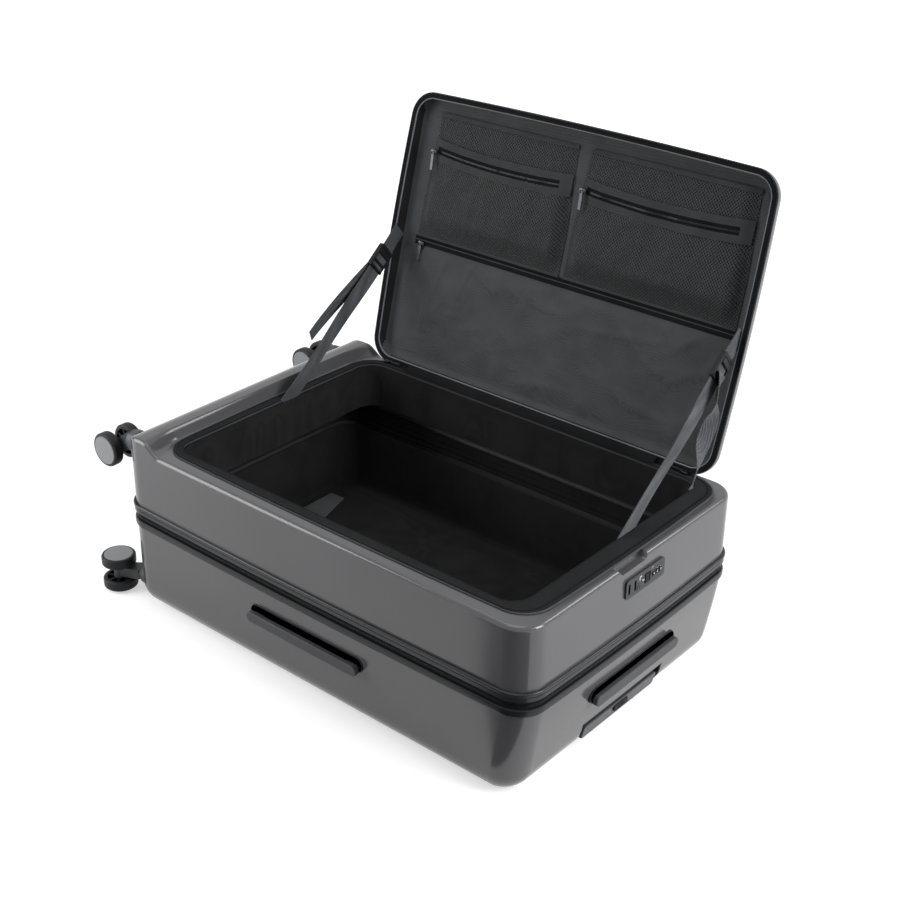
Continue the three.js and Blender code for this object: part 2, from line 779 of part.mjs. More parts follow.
const lockShare = (rimLevel - lockLevel + lockHeight / 2) / (rimLevel - frontBase);
const lockFace = handleEnd + sideBow * lockShare + seat + lockPlate;
const lastDialY = lockShift + lockLength / 2 - dialMargin - dialPitch / 2;
const sliderY = lockShift + lockSliderShift;
const lockAt = (shape, from, to, y) => topPrism(shape, from, to, lockLevel, lockFace).translate(0, y, 0);
let lockBody = lockAt(roundedShape(lockLength, lockHeight, lockPlateRadius), 0, lockPlate, lockShift);
lockBody = lockBody.add(lockAt(roundedShape(lockBodyLength, lockBodyHeight, lockBodyRadius),
  lockPlate / 2, lockBodyDepth, lockShift));
const pullSlot = roundedShape(pullSlotWidth, pullSlotHeight, pullSlotWidth / 2);
for (const inset of pullSlotInsets) {
  const y = lockShift - lockLength / 2 + inset;
  lockBody = lockBody.subtract(lockAt(pullSlot, -beyond, pullSlotDepth, y));
}
const windowLength = lockSliderLength + lockSliderTravel + 2 * seat;
const windowShape = roundedShape(windowLength, lockSliderHeight + 2 * seat, lockSliderRadius);
const windowY = sliderY + lockSliderTravel / 2;
lockBody = lockBody.subtract(lockAt(windowShape, -beyond, lockSliderDepth + seat, windowY));
const dialDepth = dialRadius - dialStand;
for (let i = 0; i < 3; i += 1) {
  const y = lastDialY + (i - 2) * dialPitch;
  const pocket = cylinderAlong('y', dialRadius + seat, dialWidth + 2 * seat);
  lockBody = lockBody.subtract(solid(pocket.translate(lockFace - dialDepth, y, lockLevel)));
  const dial = cylinderAlong('y', dialRadius, dialWidth).translate(lockFace - dialDepth, y, lockLevel);
  place(frontCase, `lock_dial_${i + 1}`, dial, blackPlastic);
}
place(frontCase, 'lock_body', skin(lockBody), blackPlastic);
const lockSliderShape = roundedShape(lockSliderLength, lockSliderHeight, lockSliderRadius);
const lockSlider = lockAt(lockSliderShape, -lockSliderStand, lockSliderDepth, sliderY);
place(frontCase, 'lock_slider', skin(lockSlider), blackPlastic);

// ---- Lid, drawn closed with its hinge on the X axis and turned open about it ----

const lid = new THREE.Group();
lid.position.set(0, hingeY, hingeLevel);
lid.rotation.x = -rad(openAngle);
model.add(lid);

const lidBase = seat + lidTapeThickness + seat;
const lidRing = (z, inset) => ({ points: lidOutline(inset, -hingeY), z });
function lidRings(offset, base) {
  const radius = lidFillet - offset;
  const rings = [lidRing(base, lidEdgeInset + offset)];
  for (let i = 0; i <= filletSteps; i += 1) {
    const angle = rad((90 * i) / filletSteps);
    const inset = lidEdgeInset + lidDraft + offset + radius * (1 - Math.cos(angle));
    rings.push(lidRing(lidDepth - offset - radius * (1 - Math.sin(angle)), inset));
  }
  return rings;
}
place(lid, 'lid_shell', loft([...lidRings(shellWall, lidBase).reverse(), ...lidRings(0, lidBase)]), graphite);
const lidTapeTop = seat + lidTapeThickness;
const lidTape = solid(loft([
  lidRing(seat, lidEdgeInset), lidRing(lidTapeTop, lidEdgeInset),
  lidRing(lidTapeTop, openingLip), lidRing(seat, openingLip),
], true));

// The lining is sewn to the zip tape that runs around the lid's edge.
const lidSkin = shellWall + seat;
const lidFace = lidDepth - lidSkin - liningWall;
const trayBase = seat + lidTapeThickness / 2;
const lidTray = solid(loft([
  ...lidRings(lidSkin + liningWall, trayBase).reverse(), ...lidRings(lidSkin, trayBase),
]));
place(lid, 'lid_lining', skin(lidTray.add(lidTape)), liningFabric);

// Turns a profile drawn in the lid's (Y, Z) so that it runs along X between two places.
const lidBar = (points, x0, x1) => alongX(extrude(polygon(points), x1 - x0)).translate(x0, 0, 0);

const pocketFace = lidFace - seat;
const pocketMiddle = lidMiddle - pocketShift;
const pocketSpans = {
  left: [lidStart + pocketWheelInset, pocketMiddle - pocketGap / 2],
  right: [pocketMiddle + pocketGap / 2, lidEnd - pocketHandleInset],
};
const bulgeLevel = pocketBottom + pocketBulge;
const pocketSlope = (pocketThick - pocketThin) / (pocketTop - bulgeLevel);
const pocketDepthAt = (h) => pocketThin + pocketSlope * (pocketTop - h);
for (const [name, [x0, x1]] of Object.entries(pocketSpans)) {
  const points = [
    [-pocketBottom, pocketFace], [-pocketBottom, pocketFace - pocketThin],
    [-pocketBottom - pocketHem, pocketFace - pocketThick], [-bulgeLevel, pocketFace - pocketThick],
    [-pocketTop, pocketFace - pocketThin], [-pocketTop, pocketFace],
  ];
  place(lid, `mesh_pocket_${name}`, lidBar(points.reverse(), x0, x1), blackFabric);
}

// A zip slider with its pull hanging from it, on a face of the lid at height h.
function zipSlider(name, x, h, face) {
  const top = face - seat;
  const body = solid(block(x, x + zipSliderLength, -h - zipSliderWidth / 2, -h + zipSliderWidth / 2,
    top - zipSliderHeight, top));
  const middle = x + zipSliderLength / 2;
  const pull = solid(block(middle - zipPullWidth / 2, middle + zipPullWidth / 2, -h, -h + zipPullLength,
    top - zipSliderHeight - zipPullThickness + zipPullLap, top - zipSliderHeight + zipPullLap));
  place(lid, name, skin(body.add(pull)), blackPlastic);
}
const pocketFront = pocketFace - pocketDepthAt(pocketZipLevel - zipSliderWidth / 2);
zipSlider('pocket_slider_left', pocketSpans.left[0] + zipEndMargin, pocketZipLevel, pocketFront);
zipSlider('pocket_slider_right', pocketSpans.right[0] + zipEndMargin, pocketZipLevel, pocketFront);
zipSlider('lining_slider', pocketSpans.left[0] + zipEndMargin, liningZipLevel - zipSliderWidth / 2, lidFace);

// ---- Stay straps between the lid and the case, straight while the lid stands open ----

const stayAngle = rad(openAngle);
const lidPoint = (h) => [hingeY + h * Math.cos(Math.PI - stayAngle), hingeLevel + h * Math.sin(stayAngle)];
const stayTop = lidPoint(stayReach);
const stayFoot = [hingeY - stayReach, rimLevel - stayFootDrop];
const stayRun = [stayTop[0] - stayFoot[0], stayTop[1] - stayFoot[1]];
const stayLength = Math.hypot(...stayRun);
const staySlope = Math.atan2(stayRun[1], stayRun[0]);
// Each strap lies against the front lining, where it is sewn on, and ends on the lid's lining.
const stayInset = openingLip + liningGap + liningWall + seat + webbingThickness / 2;
const sideShare = (stayReach - webbingWidth - lidCornerRadius) / (lidHeight / 2 - lidCornerRadius);
const bowAtStay = sideBow * Math.min(sideShare, 1);
const stays = [
  ['left', lidStart - bowAtStay + stayInset],
  ['right', lidEnd + bowAtStay - stayInset],
];
const stayTilt = Math.PI - stayAngle - staySlope;
// The strap's end stops short of the lining's floor by what the round edge rises where the strap meets it.
const trayRound = lidFillet - lidSkin - liningWall;
const strapEdge = stayInset - webbingThickness / 2 - lidEdgeInset - lidDraft - lidSkin - liningWall;
const edgeRise = trayRound - Math.sqrt(trayRound ** 2 - Math.max(0, trayRound - strapEdge) ** 2);
const stayEnd = stayLength + (lidFace - edgeRise - 2 * seat - (webbingWidth / 2) * Math.cos(stayTilt)) / Math.sin(stayTilt);
const buckleStart = stayLength - buckleDrop - buckleLength;

// The cloth hinge bridges the two zip tapes from end to end of its length.
const stripFoot = [hingeY - hingeStripReach, hingeLevel];
const stripTop = lidPoint(hingeStripReach);
const stripRun = [stripTop[0] - stripFoot[0], stripTop[1] - stripFoot[1]];
const stripSpan = Math.hypot(...stripRun);
const stripOut = [-stripRun[1] / stripSpan * hingeStripWall, stripRun[0] / stripSpan * hingeStripWall];
const stripMiddle = lidMiddle - hingeStripShift;
const stripShape = polygon([
  stripFoot, stripTop,
  [stripTop[0] + stripOut[0], stripTop[1] + stripOut[1]],
  [stripFoot[0] + stripOut[0], stripFoot[1] + stripOut[1]],
]);
const stripStart = stripMiddle - hingeStripLength / 2;
const hingeStrip = alongX(extrude(stripShape, hingeStripLength)).translate(stripStart, 0, 0);
place(model, 'hinge_strip', hingeStrip, blackFabric);

// Turns a geometry drawn along the strap, from its foot towards the lid, into its place at x.
const alongStay = (geometry, x) => geometry.rotateX(staySlope).translate(x, ...stayFoot);
const buckleHalf = buckleThickness / 2;
const webbingRoom = webbingThickness / 2 + seat;
for (const [name, x] of stays) {
  const strap = block(-webbingThickness / 2, webbingThickness / 2, 0, stayEnd,
    -webbingWidth / 2, webbingWidth / 2);
  place(model, `stay_strap_${name}`, alongStay(strap, x), blackFabric);
  const frame = solid(alongStay(block(-buckleHalf, buckleHalf, buckleStart, buckleStart + buckleLength,
    -buckleWidth / 2, buckleWidth / 2), x));
  const slotEdge = webbingWidth / 2 + seat;
  const slot = solid(alongStay(block(-webbingRoom, webbingRoom, 0, stayLength, -slotEdge, slotEdge), x));
  place(model, `stay_buckle_${name}`, skin(frame.subtract(slot)), blackPlastic);
}

// ---- Casters ----

const wheelAxis = [-casterReach, 0, -casterTrail];
const wheelStart = wheelGap / 2;

function wheel() {
  const bore = axleRadius + axleClearance;
  const boreDepth = wheelWidth - wheelEndWall;
  const shoulder = wheelRadius - tyreRound;
  const profile = [
    [0, wheelWidth], [wheelRadius - capInset, wheelWidth], [shoulder, wheelWidth - tyreRound],
    [wheelRadius, wheelWidth - treadInset], [wheelRadius, treadInset], [shoulder, tyreRound],
    [wheelRadius - capInset, 0], [bore, 0], [bore, boreDepth], [0, boreDepth],
  ].map(([x, y]) => new THREE.Vector2(x, y)).reverse();
  return new THREE.LatheGeometry(profile, roundSteps);
}

// The fork hangs from the swivel and carries the axle behind the swivel's own line.
function fork() {
  const hub = wheelGap - 2 * seat;
  const neck = extrude(polygon([
    [-swivelThickness, -swivelRadius], [-swivelThickness, swivelRadius],
    [-casterReach, hubRadius - casterTrail], [-casterReach - hubRadius, -casterTrail],
    [-casterReach, -hubRadius - casterTrail],
  ].reverse()), forkNeckWidth);
  let body = solid(alongY(neck).translate(0, forkNeckWidth / 2, 0));
  const disc = cylinderAlong('x', swivelRadius, swivelThickness).translate(-swivelThickness / 2 - seat, 0, 0);
  body = body.add(solid(disc));
  body = body.add(solid(cylinderAlong('y', hubRadius, hub).translate(...wheelAxis)));
  const bore = cylinderAlong('y', axleRadius + axleClearance, hub + beyond).translate(...wheelAxis);
  return skin(body.subtract(solid(bore)));
}

const casters = [
  ['rear_near', -casterY, rearCasterLevel, -90, model],
  ['rear_far', casterY, rearCasterLevel, 90, model],
  ['front_near', -casterY, frontCasterLevel, 0, frontCase],
  ['front_far', casterY, frontCasterLevel, 0, frontCase],
];
for (const [name, y, level, turn, carrier] of casters) {
  const caster = new THREE.Group();
  caster.position.set(wheelEnd - bossStand, y, level);
  caster.rotation.x = rad(turn);
  carrier.add(caster);
  place(caster, `caster_fork_${name}`, fork(), blackPlastic);
  const axleLength = wheelGap + 2 * (wheelWidth - wheelEndWall - axleClearance);
  place(caster, `caster_axle_${name}`, cylinderAlong('y', axleRadius, axleLength), steel, wheelAxis);
  const near = wheel().rotateX(rad(180)).translate(0, -wheelStart, 0);
  place(caster, `caster_wheel_${name}_a`, near, rubber, wheelAxis);
  place(caster, `caster_wheel_${name}_b`, wheel().translate(0, wheelStart, 0), rubber, wheelAxis);
}

export default model;
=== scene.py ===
import math
import bmesh
import bpy
import numpy as np
from mathutils import Matrix, Vector, noise as noise3


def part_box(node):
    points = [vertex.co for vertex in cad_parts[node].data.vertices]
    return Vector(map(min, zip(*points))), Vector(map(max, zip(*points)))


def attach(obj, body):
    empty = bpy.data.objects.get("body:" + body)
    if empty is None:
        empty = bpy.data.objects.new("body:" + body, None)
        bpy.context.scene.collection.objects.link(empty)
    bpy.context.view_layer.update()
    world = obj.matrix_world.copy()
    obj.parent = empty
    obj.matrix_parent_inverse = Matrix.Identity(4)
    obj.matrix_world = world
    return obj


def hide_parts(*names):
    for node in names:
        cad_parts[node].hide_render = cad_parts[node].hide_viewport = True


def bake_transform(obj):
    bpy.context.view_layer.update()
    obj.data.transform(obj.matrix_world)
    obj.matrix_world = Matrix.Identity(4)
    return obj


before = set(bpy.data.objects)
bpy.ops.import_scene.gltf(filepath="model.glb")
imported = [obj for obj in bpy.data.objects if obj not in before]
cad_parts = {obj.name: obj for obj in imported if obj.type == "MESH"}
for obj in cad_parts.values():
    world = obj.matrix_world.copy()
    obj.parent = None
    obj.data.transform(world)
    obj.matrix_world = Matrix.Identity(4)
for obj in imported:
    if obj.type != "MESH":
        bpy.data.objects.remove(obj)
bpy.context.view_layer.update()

mm = 0.001

# X runs from the wheels to the top handle, Y towards the lid's hinge, Z up from the case's back.

# the six sides of a small block whose points go round its lower face, then round its upper one
blockFaces = ((3, 2, 1, 0), (4, 5, 6, 7), (0, 1, 5, 4), (1, 2, 6, 5), (2, 3, 7, 6), (3, 0, 4, 7))


def deselectAll():
    if bpy.context.mode != "OBJECT":
        bpy.ops.object.mode_set(mode="OBJECT")
    bpy.ops.object.select_all(action="DESELECT")


def makeActive(piece):
    deselectAll()
    piece.select_set(True)
    bpy.context.view_layer.objects.active = piece


def freeze(piece):
    makeActive(piece)
    bpy.ops.object.transform_apply(location=True, rotation=True, scale=True)
    return piece


def addBlock(name, low, high):
    deselectAll()
    middle = [(a + b) / 2 for a, b in zip(low, high)]
    bpy.ops.mesh.primitive_cube_add(size=1, location=middle)
    piece = bpy.context.active_object
    piece.name = name
    piece.scale = [b - a for a, b in zip(low, high)]
    return freeze(piece)


def addRod(name, axis, radius, length, middle, vertices=48):
    deselectAll()
    turn = {"x": (0, math.pi / 2, 0), "y": (math.pi / 2, 0, 0), "z": (0, 0, 0)}[axis]
    bpy.ops.mesh.primitive_cylinder_add(
        vertices=vertices, radius=radius, depth=length, location=middle, rotation=turn)
    piece = bpy.context.active_object
    piece.name = name
    return freeze(piece)


def pickParts(piece, kind, test):
    # the test sees an edge's two ends, or a face's centre and normal
    makeActive(piece)
    bpy.ops.object.mode_set(mode="EDIT")
    bpy.ops.mesh.select_mode(type=kind)
    bpy.ops.mesh.select_all(action="DESELECT")
    shape = bmesh.from_edit_mesh(piece.data)
    if kind == "EDGE":
        for edge in shape.edges:
            edge.select_set(bool(test(edge.verts[0].co, edge.verts[1].co)))
    else:
        for face in shape.faces:
            face.select_set(bool(test(face.calc_center_median(), face.normal)))
    shape.select_flush_mode()
    bmesh.update_edit_mesh(piece.data)


def bevelEdges(piece, test, width, segments=3):
    pickParts(piece, "EDGE", test)
    bpy.ops.mesh.bevel(offset=width, segments=segments, profile=0.5, affect="EDGES",
                       clamp_overlap=False)
    bpy.ops.object.mode_set(mode="OBJECT")


def deleteFaces(piece, test):
    pickParts(piece, "FACE", test)
    bpy.ops.mesh.delete(type="FACE")
    bpy.ops.object.mode_set(mode="OBJECT")


def sliceAt(piece, axis, places):
    normal = [0, 0, 0]
    normal["xyz".index(axis)] = 1
    makeActive(piece)
    bpy.ops.object.mode_set(mode="EDIT")
    for place in places:
        bpy.ops.mesh.select_all(action="SELECT")
        bpy.ops.mesh.bisect(plane_co=[n * place for n in normal], plane_no=normal)
    bpy.ops.object.mode_set(mode="OBJECT")


def applyModifier(piece, kind, **settings):
    makeActive(piece)
    modifier = piece.modifiers.new(kind.lower(), kind)
    for key, value in settings.items():
        setattr(modifier, key, value)
    bpy.ops.object.modifier_apply(modifier=modifier.name)
    return piece


def combine(piece, tool, operation="DIFFERENCE", folded=False):
    # folded: the piece's own walls cross somewhere, as a thickened skin's do in a tight bend
    applyModifier(piece, "BOOLEAN", object=tool, operation=operation, solver="EXACT",
                  use_self=folded)
    bpy.data.objects.remove(tool, do_unlink=True)
    return piece


def roundBlock(name, low, high, axis, radius, rim=0, segments=8, rimSegments=3):
    piece = addBlock(name, low, high)
    along = "xyz".index(axis)
    bevelEdges(piece, lambda a, b: abs(a[along] - b[along]) > 1e-4, radius, segments)
    if rim:
        bevelEdges(piece, lambda a, b: abs(a[along] - b[along]) < 1e-4, rim, rimSegments)
    return piece


def joinPieces(name, pieces):
    deselectAll()
    for piece in pieces:
        piece.select_set(True)
    bpy.context.view_layer.objects.active = pieces[0]
    if len(pieces) > 1:
        bpy.ops.object.join()
    pieces[0].name = name
    return pieces[0]


def copyPiece(piece, name, matrix=None):
    other = piece.copy()
    other.data = piece.data.copy()
    other.name = name
    bpy.context.collection.objects.link(other)
    if matrix is not None:
        other.data.transform(matrix)
        if matrix.is_negative:
            other.data.flip_normals()
    return other


def meshPiece(name, points, faces):
    data = bpy.data.meshes.new(name)
    data.from_pydata([tuple(p) for p in points], [], [tuple(f) for f in faces])
    data.update()
    piece = bpy.data.objects.new(name, data)
    bpy.context.collection.objects.link(piece)
    return piece


def clothGrid(name, rows):
    # rows of points, each as long as the next, joined by quads
    count = len(rows[0])
    points = [p for row in rows for p in row]
    faces = [(r * count + c, r * count + c + 1, (r + 1) * count + c + 1, (r + 1) * count + c)
             for r in range(len(rows) - 1) for c in range(count - 1)]
    return meshPiece(name, points, faces)


def addFaces(piece, loops, outward=False):
    # closes a loft's ends; each loop is a list of vertex numbers
    shape = bmesh.new()
    shape.from_mesh(piece.data)
    shape.verts.ensure_lookup_table()
    for loop in loops:
        shape.faces.new([shape.verts[i] for i in loop])
    if outward:
        bmesh.ops.recalc_face_normals(shape, faces=shape.faces)
    shape.to_mesh(piece.data)
    shape.free()


def faceOutward(piece):
    makeActive(piece)
    bpy.ops.object.mode_set(mode="EDIT")
    bpy.ops.mesh.select_all(action="SELECT")
    bpy.ops.mesh.normals_make_consistent(inside=False)
    bpy.ops.object.mode_set(mode="OBJECT")
    return piece


def moveVertices(piece, rule):
    for vertex in piece.data.vertices:
        vertex.co = rule(vertex.co)
    piece.data.update()


def finish(piece, body, materials, nodes=(), angle=32, weighted=True):
    if not isinstance(materials, (list, tuple)):
        materials = [materials]
    if len(piece.data.materials) == 0:
        for material in materials:
            piece.data.materials.append(material)
    piece.data.transform(Matrix.Scale(mm, 4))
    makeActive(piece)
    bpy.ops.object.shade_smooth_by_angle(angle=math.radians(angle))
    if weighted:
        applyModifier(piece, "WEIGHTED_NORMAL", keep_sharp=True, weight=80)
    if body:
        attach(piece, body)
    if nodes:
        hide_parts(*nodes)
    return piece


def dressNode(node, body, material, bevel=0.0, angle=32):
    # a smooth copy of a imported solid, its edges rounded
    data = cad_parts[node].data.copy()
    data.materials.clear()
    piece = bpy.data.objects.new(node + "_finished", data)
    bpy.context.collection.objects.link(piece)
    piece.data.transform(Matrix.Scale(1 / mm, 4))
    makeActive(piece)
    bpy.ops.object.mode_set(mode="EDIT")
    bpy.ops.mesh.select_all(action="SELECT")
    bpy.ops.mesh.remove_doubles(threshold=0.001)
    bpy.ops.mesh.dissolve_limited(angle_limit=math.radians(0.5))
    bpy.ops.object.mode_set(mode="OBJECT")
    if bevel:
        applyModifier(piece, "BEVEL", width=bevel, segments=2, limit_method="ANGLE",
                      angle_limit=math.radians(angle), use_clamp_overlap=True)
    return finish(piece, body, material, [node], angle=angle)


def colour(code):
    parts = [int(code[i:i + 2], 16) / 255 for i in (1, 3, 5)]
    linear = [c / 12.92 if c <= 0.04045 else ((c + 0.055) / 1.055) ** 2.4 for c in parts]
    return (*linear, 1)


def addNode(material, kind, inputs=None, **settings):
    node = material.node_tree.nodes.new(kind)
    for key, value in settings.items():
        setattr(node, key, value)
    for socket, value in (inputs or {}).items():
        if isinstance(value, bpy.types.NodeSocket):
            material.node_tree.links.new(value, node.inputs[socket])
        else:
            node.inputs[socket].default_value = value
    return node


def newMaterial(name, base, roughness, **sockets):
    material = bpy.data.materials.new(name)
    material.use_nodes = True
    shader = material.node_tree.nodes["Principled BSDF"]
    shader.inputs["Base Color"].default_value = colour(base)
    shader.inputs["Roughness"].default_value = roughness
    # grained plastic and cloth mirror less than a polished face does
    shader.inputs["Specular IOR Level"].default_value = 0.2
    for socket, value in sockets.items():
        shader.inputs[socket.replace("_", " ")].default_value = value
    return material


def objectPlace(material):
    return addNode(material, "ShaderNodeTexCoord").outputs["Object"]


def noise(material, size, detail=3.0):
    # size is the width of one patch in millimetres
    return addNode(material, "ShaderNodeTexNoise",
                   {"Vector": objectPlace(material), "Scale": 1 / (size * mm), "Detail": detail})


def feed(material, socket, value):
    shader = material.node_tree.nodes["Principled BSDF"]
    material.node_tree.links.new(value, shader.inputs[socket])


def bump(material, height, depth):
    return addNode(material, "ShaderNodeBump",
                   {"Height": height, "Distance": depth * mm, "Strength": 1.0}).outputs["Normal"]


def spread(material, value, low, high, fromLow=0.3, fromHigh=0.7):
    return addNode(material, "ShaderNodeMapRange",
                   {"Value": value, "From Min": fromLow, "From Max": fromHigh,
                    "To Min": low, "To Max": high}).outputs["Result"]


def calculate(material, operation, first, second):
    node = addNode(material, "ShaderNodeMath", {0: first, 1: second}, operation=operation)
    return node.outputs[0]


def twoTone(material, share, first, second):
    mix = addNode(material, "ShaderNodeMix", {0: share, 6: colour(first), 7: colour(second)},
                  data_type="RGBA")
    return mix.outputs[2]


def cloudy(material, size, base, shade, detail=3.0):
    # the colour drifts between two close tones in clouds of this size
    cloud = noise(material, size, detail)
    share = spread(material, cloud.outputs["Fac"], 0, 1)
    feed(material, "Base Color", twoTone(material, share, base, shade))


def moulded(name, base, shade, roughness, grain, depth, **sockets):
    # moulded plastic: a faint cloud in the colour, roughness that wanders, a fine skin texture
    material = newMaterial(name, base, roughness, **sockets)
    cloudy(material, 70, base, shade)
    wear = noise(material, 9, detail=6.0)
    feed(material, "Roughness",
         spread(material, wear.outputs["Fac"], roughness - 0.05, roughness + 0.07))
    skin = noise(material, grain, detail=1.0)
    feed(material, "Normal", bump(material, skin.outputs["Fac"], depth))
    return material


wavePeriod = 2 * math.pi / 20  # a wave texture's band repeats this often at scale 1


def woven(name, base, shade, pitch, depth, roughness=0.85, sheen=0.15):
    # plain or twill cloth: two crossed sets of threads, pitch millimetres apart
    material = newMaterial(name, base, roughness, Sheen_Weight=sheen, Sheen_Roughness=0.5,
                           Specular_IOR_Level=0.0)
    place = objectPlace(material)
    heights = []
    for axis in ("X", "Y", "Z"):
        wave = addNode(material, "ShaderNodeTexWave",
                       {"Vector": place, "Scale": wavePeriod / (pitch * mm), "Distortion": 0.6,
                        "Detail": 1.0, "Detail Scale": 2.0},
                       wave_type="BANDS", bands_direction=axis)
        heights.append(wave.outputs["Fac"])
    threads = calculate(material, "ADD", calculate(material, "ADD", *heights[:2]), heights[2])
    tone = calculate(material, "MULTIPLY", threads, noise(material, 45).outputs["Fac"])
    share = spread(material, tone, 0, 1, 0.3, 1.2)
    feed(material, "Base Color", twoTone(material, share, base, shade))
    feed(material, "Normal", bump(material, threads, depth))
    return material


def drawnSheet(name, base, shade, roughness, **sockets):
    # plastic sheet drawn over a mould: smooth, with soft ripples that bend the highlights a little
    material = newMaterial(name, base, roughness, **sockets)
    cloudy(material, 160, base, shade, detail=1.0)
    ripple = noise(material, 90, detail=0.0)
    feed(material, "Normal", bump(material, ripple.outputs["Fac"], 0.5))
    return material


# Polycarbonate sheet, graphite, with a soft satin gloss
graphiteShell = drawnSheet("drawn_polycarbonate_graphite", "#474749", "#4b4b4d", 0.16,
                           IOR=1.5, Specular_IOR_Level=0.5)
# The front trim: ABS, injection moulded, satin and darker than the shell
graphiteTrim = drawnSheet("moulded_abs_graphite", "#232426", "#262729", 0.2,
                          IOR=1.54, Specular_IOR_Level=0.25)
# The rear trim: the same ABS, black
darkTrim = drawnSheet("moulded_abs_black_trim", "#1b1c1e", "#1d1e20", 0.26, IOR=1.54)
# Glass-filled nylon with a spark-eroded grain: near black, dull
blackNylon = moulded("moulded_nylon_black", "#1a1b1d", "#1e1f21", 0.42, 0.9, 0.03,
                     IOR=1.53, Specular_IOR_Level=0.1)
# The caster housings' dark grey ABS: fine grain, satin
darkAbs = moulded("moulded_abs_dark_grey", "#4c4e52", "#45474a", 0.4, 0.9, 0.02, IOR=1.54)
# Carry handles: soft-touch overmoulded polypropylene, smooth and dull
gripPlastic = moulded("moulded_polypropylene_grey", "#3c3d3f", "#39393b", 0.32, 1.0, 0.008,
                      IOR=1.49)
# Wheel caps: light grey ABS, satin
capPlastic = moulded("moulded_abs_light_grey", "#88898b", "#7f8082", 0.4, 1.0, 0.01, IOR=1.54)
# Tyres: cast polyurethane, near black, with a faint sheen
tyreRubber = moulded("cast_polyurethane_black", "#19191b", "#212123", 0.5, 2.0, 0.02, IOR=1.5)
# Die-cast zinc with a gunmetal plate: dark, with small bright highlights
platedZinc = newMaterial("plated_zinc_gunmetal", "#3a3b3e", 0.32, Metallic=1.0)
# Drawn aluminium tube, anodised: silky, lengthwise grain
anodisedAluminium = newMaterial("anodised_aluminium", "#a9abad", 0.34, Metallic=1.0)
# Turned steel axle
turnedSteel = newMaterial("turned_steel", "#b3b5b8", 0.28, Metallic=1.0)
# Polyester zip tape, woven in a tight herringbone
zipTape = woven("woven_polyester_tape_black", "#151618", "#1d1e20", 1.1, 0.12, sheen=0.05)
# Nylon coil: extruded monofilament, glossy black teeth
coilNylon = newMaterial("extruded_nylon_coil_black", "#1b1c1e", 0.3, IOR=1.53)
# Lining: light polyester cloth, dull, charcoal
liningCloth = woven("woven_polyester_lining_charcoal", "#404143", "#4c4d4f", 0.9, 0.08,
                    roughness=0.7, sheen=0.12)
# The same lining cloth painted nearly black: painted shade for the inside of the case and the lid's
# deep walls
shadedLining = woven("woven_polyester_lining_painted_shade", "#1f1f20", "#29292a", 1.2, 0.08,
                   roughness=0.8, sheen=0.04)
# Stay straps: polypropylene webbing, mid grey, ribbed along its length
webbingCloth = woven("woven_polypropylene_webbing_grey", "#3f4144", "#5f6165", 1.8, 0.45,
                     roughness=0.7, sheen=0.1)
# Packing straps: the same webbing, darker
darkWebbing = woven("woven_polypropylene_webbing_black", "#4a4b4e", "#5c5d61", 1.8, 0.3,
                    roughness=0.75, sheen=0.06)
# Printed numerals and marks: white pad print
whitePrint = newMaterial("pad_print_white", "#d6d7d8", 0.5)
# Bound edge: polyester piping over a cord, a lighter grey that catches the light
pipingCloth = woven("woven_polyester_piping_grey", "#5f6165", "#74767a", 0.8, 0.06, roughness=0.6)
# The outer binding of the opening's zip tape, a shade lighter than the tape
borderCloth = woven("woven_polyester_binding_grey", "#3a3b3e", "#47484b", 0.8, 0.06, roughness=0.6)
# The pockets' hems and zip tapes: polyester tape, dark grey
pocketTape = woven("woven_polyester_tape_grey", "#333437", "#3e3f42", 0.9, 0.1, roughness=0.7)
# The bays' and the trolley cup's liner: black ABS, smooth and dull
bayPlastic = moulded("moulded_abs_black", "#1a1b1d", "#202124", 0.38, 1.2, 0.015, IOR=1.54)
# The lock's plate: zinc, painted dark grey, satin
lockPlastic = moulded("painted_zinc_dark_grey", "#2c2d30", "#303134", 0.34, 0.8, 0.01, IOR=1.5)


def netCloth(name, pitch):
    # knitted polyester net: open cells on the slant between fine dark yarns, pitch in millimetres
    material = newMaterial(name, "#2c2d30", 0.7, Sheen_Weight=0.2)
    place = objectPlace(material)
    turned = addNode(material, "ShaderNodeMapping",
                     {"Vector": place, "Rotation": (math.radians(-15), 0, 0)})
    slants = []
    for lean in (math.radians(45), math.radians(-45)):
        spun = addNode(material, "ShaderNodeMapping",
                       {"Vector": turned.outputs["Vector"], "Rotation": (0, lean, 0)})
        wave = addNode(material, "ShaderNodeTexWave",
                       {"Vector": spun.outputs["Vector"], "Scale": wavePeriod / (pitch * mm),
                        "Distortion": 0.4, "Detail": 1.0}, wave_type="BANDS", bands_direction="X")
        slants.append(wave.outputs["Fac"])
    yarn = calculate(material, "MAXIMUM", *slants)
    feed(material, "Alpha", spread(material, yarn, 0.35, 1, 0.45, 0.75))
    share = spread(material, yarn, 0, 1, 0.4, 1)
    feed(material, "Base Color", twoTone(material, share, "#121314", "#2a2b2d"))
    feed(material, "Normal", bump(material, yarn, 0.3))
    return material


pocketNet = netCloth("knitted_polyester_net_black", 3.2)
print("materials made")


cameraSizes = {
    "azimuth": 40.13, "elevation": 27.61, "roll": 0.66, "lens": 62.06,
    "place": (1194.4, -1360.0, 1221.0),
}


